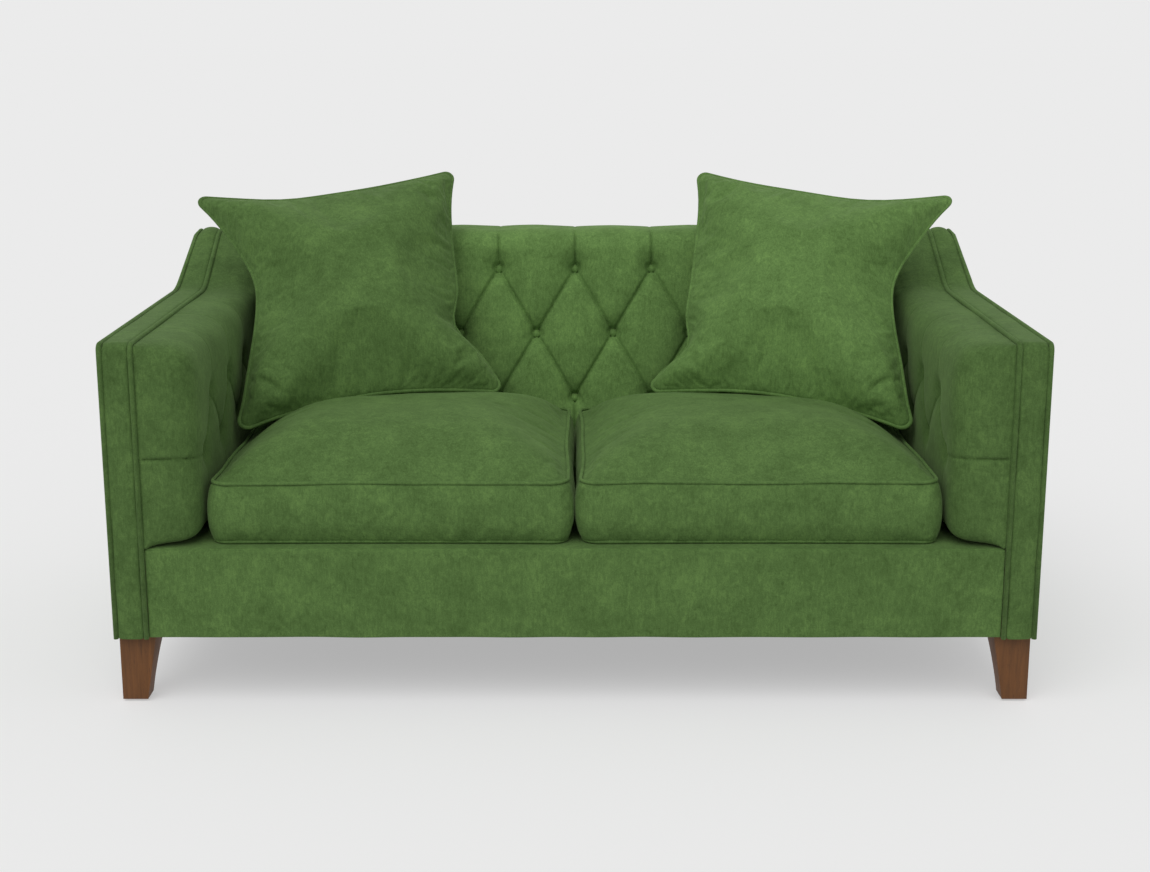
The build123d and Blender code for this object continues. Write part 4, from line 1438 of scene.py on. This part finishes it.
@dataclass
class Studio:
    """Pale floor, soft light and the camera at the photograph's viewing angle. Sizes are in metres."""

    lens: float = 56.0  # in millimetres, like the sensor
    sensor: float = 36.0
    distance: float = 3.545
    eye: float = 1.2365
    pitch: float = 13.3
    view_reach: float = 200.0
    floor_reach: float = 60.0
    floor_colour: str = "#ebebeb"
    floor_glow: float = 0.5  # share of the floor's brightness that no shadow takes away
    sky_colour: str = "#ffffff"
    sky: float = 0.49
    sun: float = 1.25
    sun_tilt: float = 33.0
    sun_turn: float = -14.0
    sun_spread: float = 55.0

    def camera(self) -> None:
        """Places the camera in front of the sofa."""
        data = bpy.data.cameras.new("camera")
        data.lens = self.lens
        data.sensor_width = self.sensor
        data.sensor_fit = "HORIZONTAL"
        data.clip_end = self.view_reach
        camera = bpy.data.objects.new("camera", data)
        camera.location = (0, -self.distance, self.eye)
        camera.rotation_euler = Euler((radians(90 - self.pitch), 0, 0))
        bpy.context.scene.collection.objects.link(camera)
        bpy.context.scene.camera = camera

    def lights(self) -> None:
        """Sets an even sky and a broad soft lamp from the upper left."""
        world = bpy.data.worlds.new("studio")
        world.use_nodes = True
        tree = world.node_tree
        tree.nodes.clear()
        sky = add_node(tree, "ShaderNodeBackground", {
            "Color": linear(self.sky_colour), "Strength": self.sky})
        seen = add_node(tree, "ShaderNodeBackground", {"Color": linear(self.floor_colour), "Strength": 1.0})
        mix = add_node(tree, "ShaderNodeMixShader", {
            0: self.seen_rays(tree), 1: sky.outputs[0], 2: seen.outputs[0]})
        add_node(tree, "ShaderNodeOutputWorld", {"Surface": mix.outputs[0]})
        bpy.context.scene.world = world
        data = bpy.data.lights.new("soft lamp", "SUN")
        data.energy = self.sun
        data.angle = radians(self.sun_spread)
        lamp = bpy.data.objects.new("soft lamp", data)
        lamp.rotation_euler = Euler((radians(self.sun_tilt), radians(self.sun_turn), 0))
        bpy.context.scene.collection.objects.link(lamp)

    def seen_rays(self, tree: bpy.types.NodeTree) -> bpy.types.NodeSocket:
        """Tells the rays that show the background, directly or in a reflection, from those that give light.

        Args:
            tree: node tree that asks.

        Returns:
            Socket that is 1 for the rays that show it.
        """
        path = add_node(tree, "ShaderNodeLightPath").outputs
        mirrored = add_node(tree, "ShaderNodeMath", {
            0: path["Is Glossy Ray"], 1: path["Is Transmission Ray"]}, operation="ADD")
        seen = add_node(tree, "ShaderNodeMath", {
            0: path["Is Camera Ray"], 1: mirrored.outputs[0]}, operation="ADD", use_clamp=True)
        return seen.outputs[0]

    def floor(self) -> None:
        """Lays a wide pale floor that keeps the sofa's shadow."""
        material, tree = new_material("matt studio floor")
        sun = self.sun * cos(radians(self.sun_tilt)) * cos(radians(self.sun_turn)) / pi
        share = (1 - self.floor_glow) / (self.sky + sun)
        colour = linear(self.floor_colour)
        matt = add_node(tree, "ShaderNodeBsdfDiffuse", {"Color": linear(self.floor_colour, share)})
        glow = add_node(tree, "ShaderNodeEmission", {"Color": colour, "Strength": self.floor_glow})
        full = add_node(tree, "ShaderNodeBsdfDiffuse", {"Color": colour})
        lifted = add_node(tree, "ShaderNodeAddShader", {0: matt.outputs[0], 1: glow.outputs[0]})
        mix = add_node(tree, "ShaderNodeMixShader", {
            0: self.seen_rays(tree), 1: full.outputs[0], 2: lifted.outputs[0]})
        add_node(tree, "ShaderNodeOutputMaterial", {"Surface": mix.outputs[0]})
        mesh = bpy.data.meshes.new("floor")
        far = self.floor_reach
        mesh.from_pydata([(-far, -far, 0), (far, -far, 0), (far, far, 0), (-far, far, 0)], [], [(0, 1, 2, 3)])
        mesh.materials.append(material)
        link_mesh("floor", mesh)

    def build(self) -> None:
        """Sets the studio up."""
        bpy.context.scene.view_settings.view_transform = "Standard"
        self.camera()
        self.lights()
        self.floor()


def main() -> None:
    """Builds the studio and dresses the sofa, piece by piece."""
    logging.basicConfig(level=logging.INFO, format="%(name)s: %(message)s")
    Studio().build()
    velvet = Velvet().build()
    # lighter copy of the velvet: painted light for the right scatter cushion
    painted_light_velvet = Velvet("crushed pile velvet with raised nap", 1.28).build()
    # lightest copy of the velvet: painted light for the back
    strong_painted_light_velvet = Velvet("crushed pile velvet with brushed nap", 1.38).build()
    # darker copy of the velvet: painted shade for the arms' band, pad, piping and buttons
    painted_shade_velvet = Velvet("crushed pile velvet with laid nap", 0.87).build()
    leg_wood = Timber("walnut-stained beech", "#734619", "#5d3812", "#48290e", (9.0, 9.0, 120.0), 0.6).build()
    timber = Timber("sawn pine", "#c49a68", "#b0834f", "#8f673d", (14.0, 160.0, 160.0), 0.75, 0.4).build()
    hardboard = Timber("pressed hardboard", "#8a6441", "#7a5637", "#6a4a2f", (2.0, 2.0, 2.0), 0.6).build()
    steel = Moulded("drawn spring steel", "#8b8d90", "#6f7276", 1.0, 0.4).build()
    plastic = Moulded("moulded nylon", "#2b2622", "#38322d", 0.0, 0.5).build()
    felt = Woven("needled felt", "#77777b", "#5f5f64", (2.5, 2.5, 2.5), 0.95, 0.6).build()
    webbing = Woven("woven elastic webbing", "#2a2a2a", "#4a463f", (1.5, 3.0, 3.0), 0.85).build()
    dust_cloth = Woven("spun-bonded dust cloth", "#232323", "#343434", (1.8, 1.8, 1.8), 0.9).build()
    for side in Side:
        Arm(side, velvet, painted_shade_velvet, timber).build()
    # the back wears the lightest copy of the velvet: painted light
    TuftedBack(strong_painted_light_velvet).build()
    for side in Side:
        SeatCushion(side, velvet).build()
    # the right scatter cushion wears a lighter copy of the velvet: painted light
    for side, finish in zip(Side, (velvet, painted_light_velvet)):
        ScatterCushion(side, finish).build()
    Base(velvet, dust_cloth).build()
    Legs(leg_wood).build()
    InnerFrame(timber, hardboard, steel, felt, webbing, plastic).build()


if __name__ == "__main__":
    main()
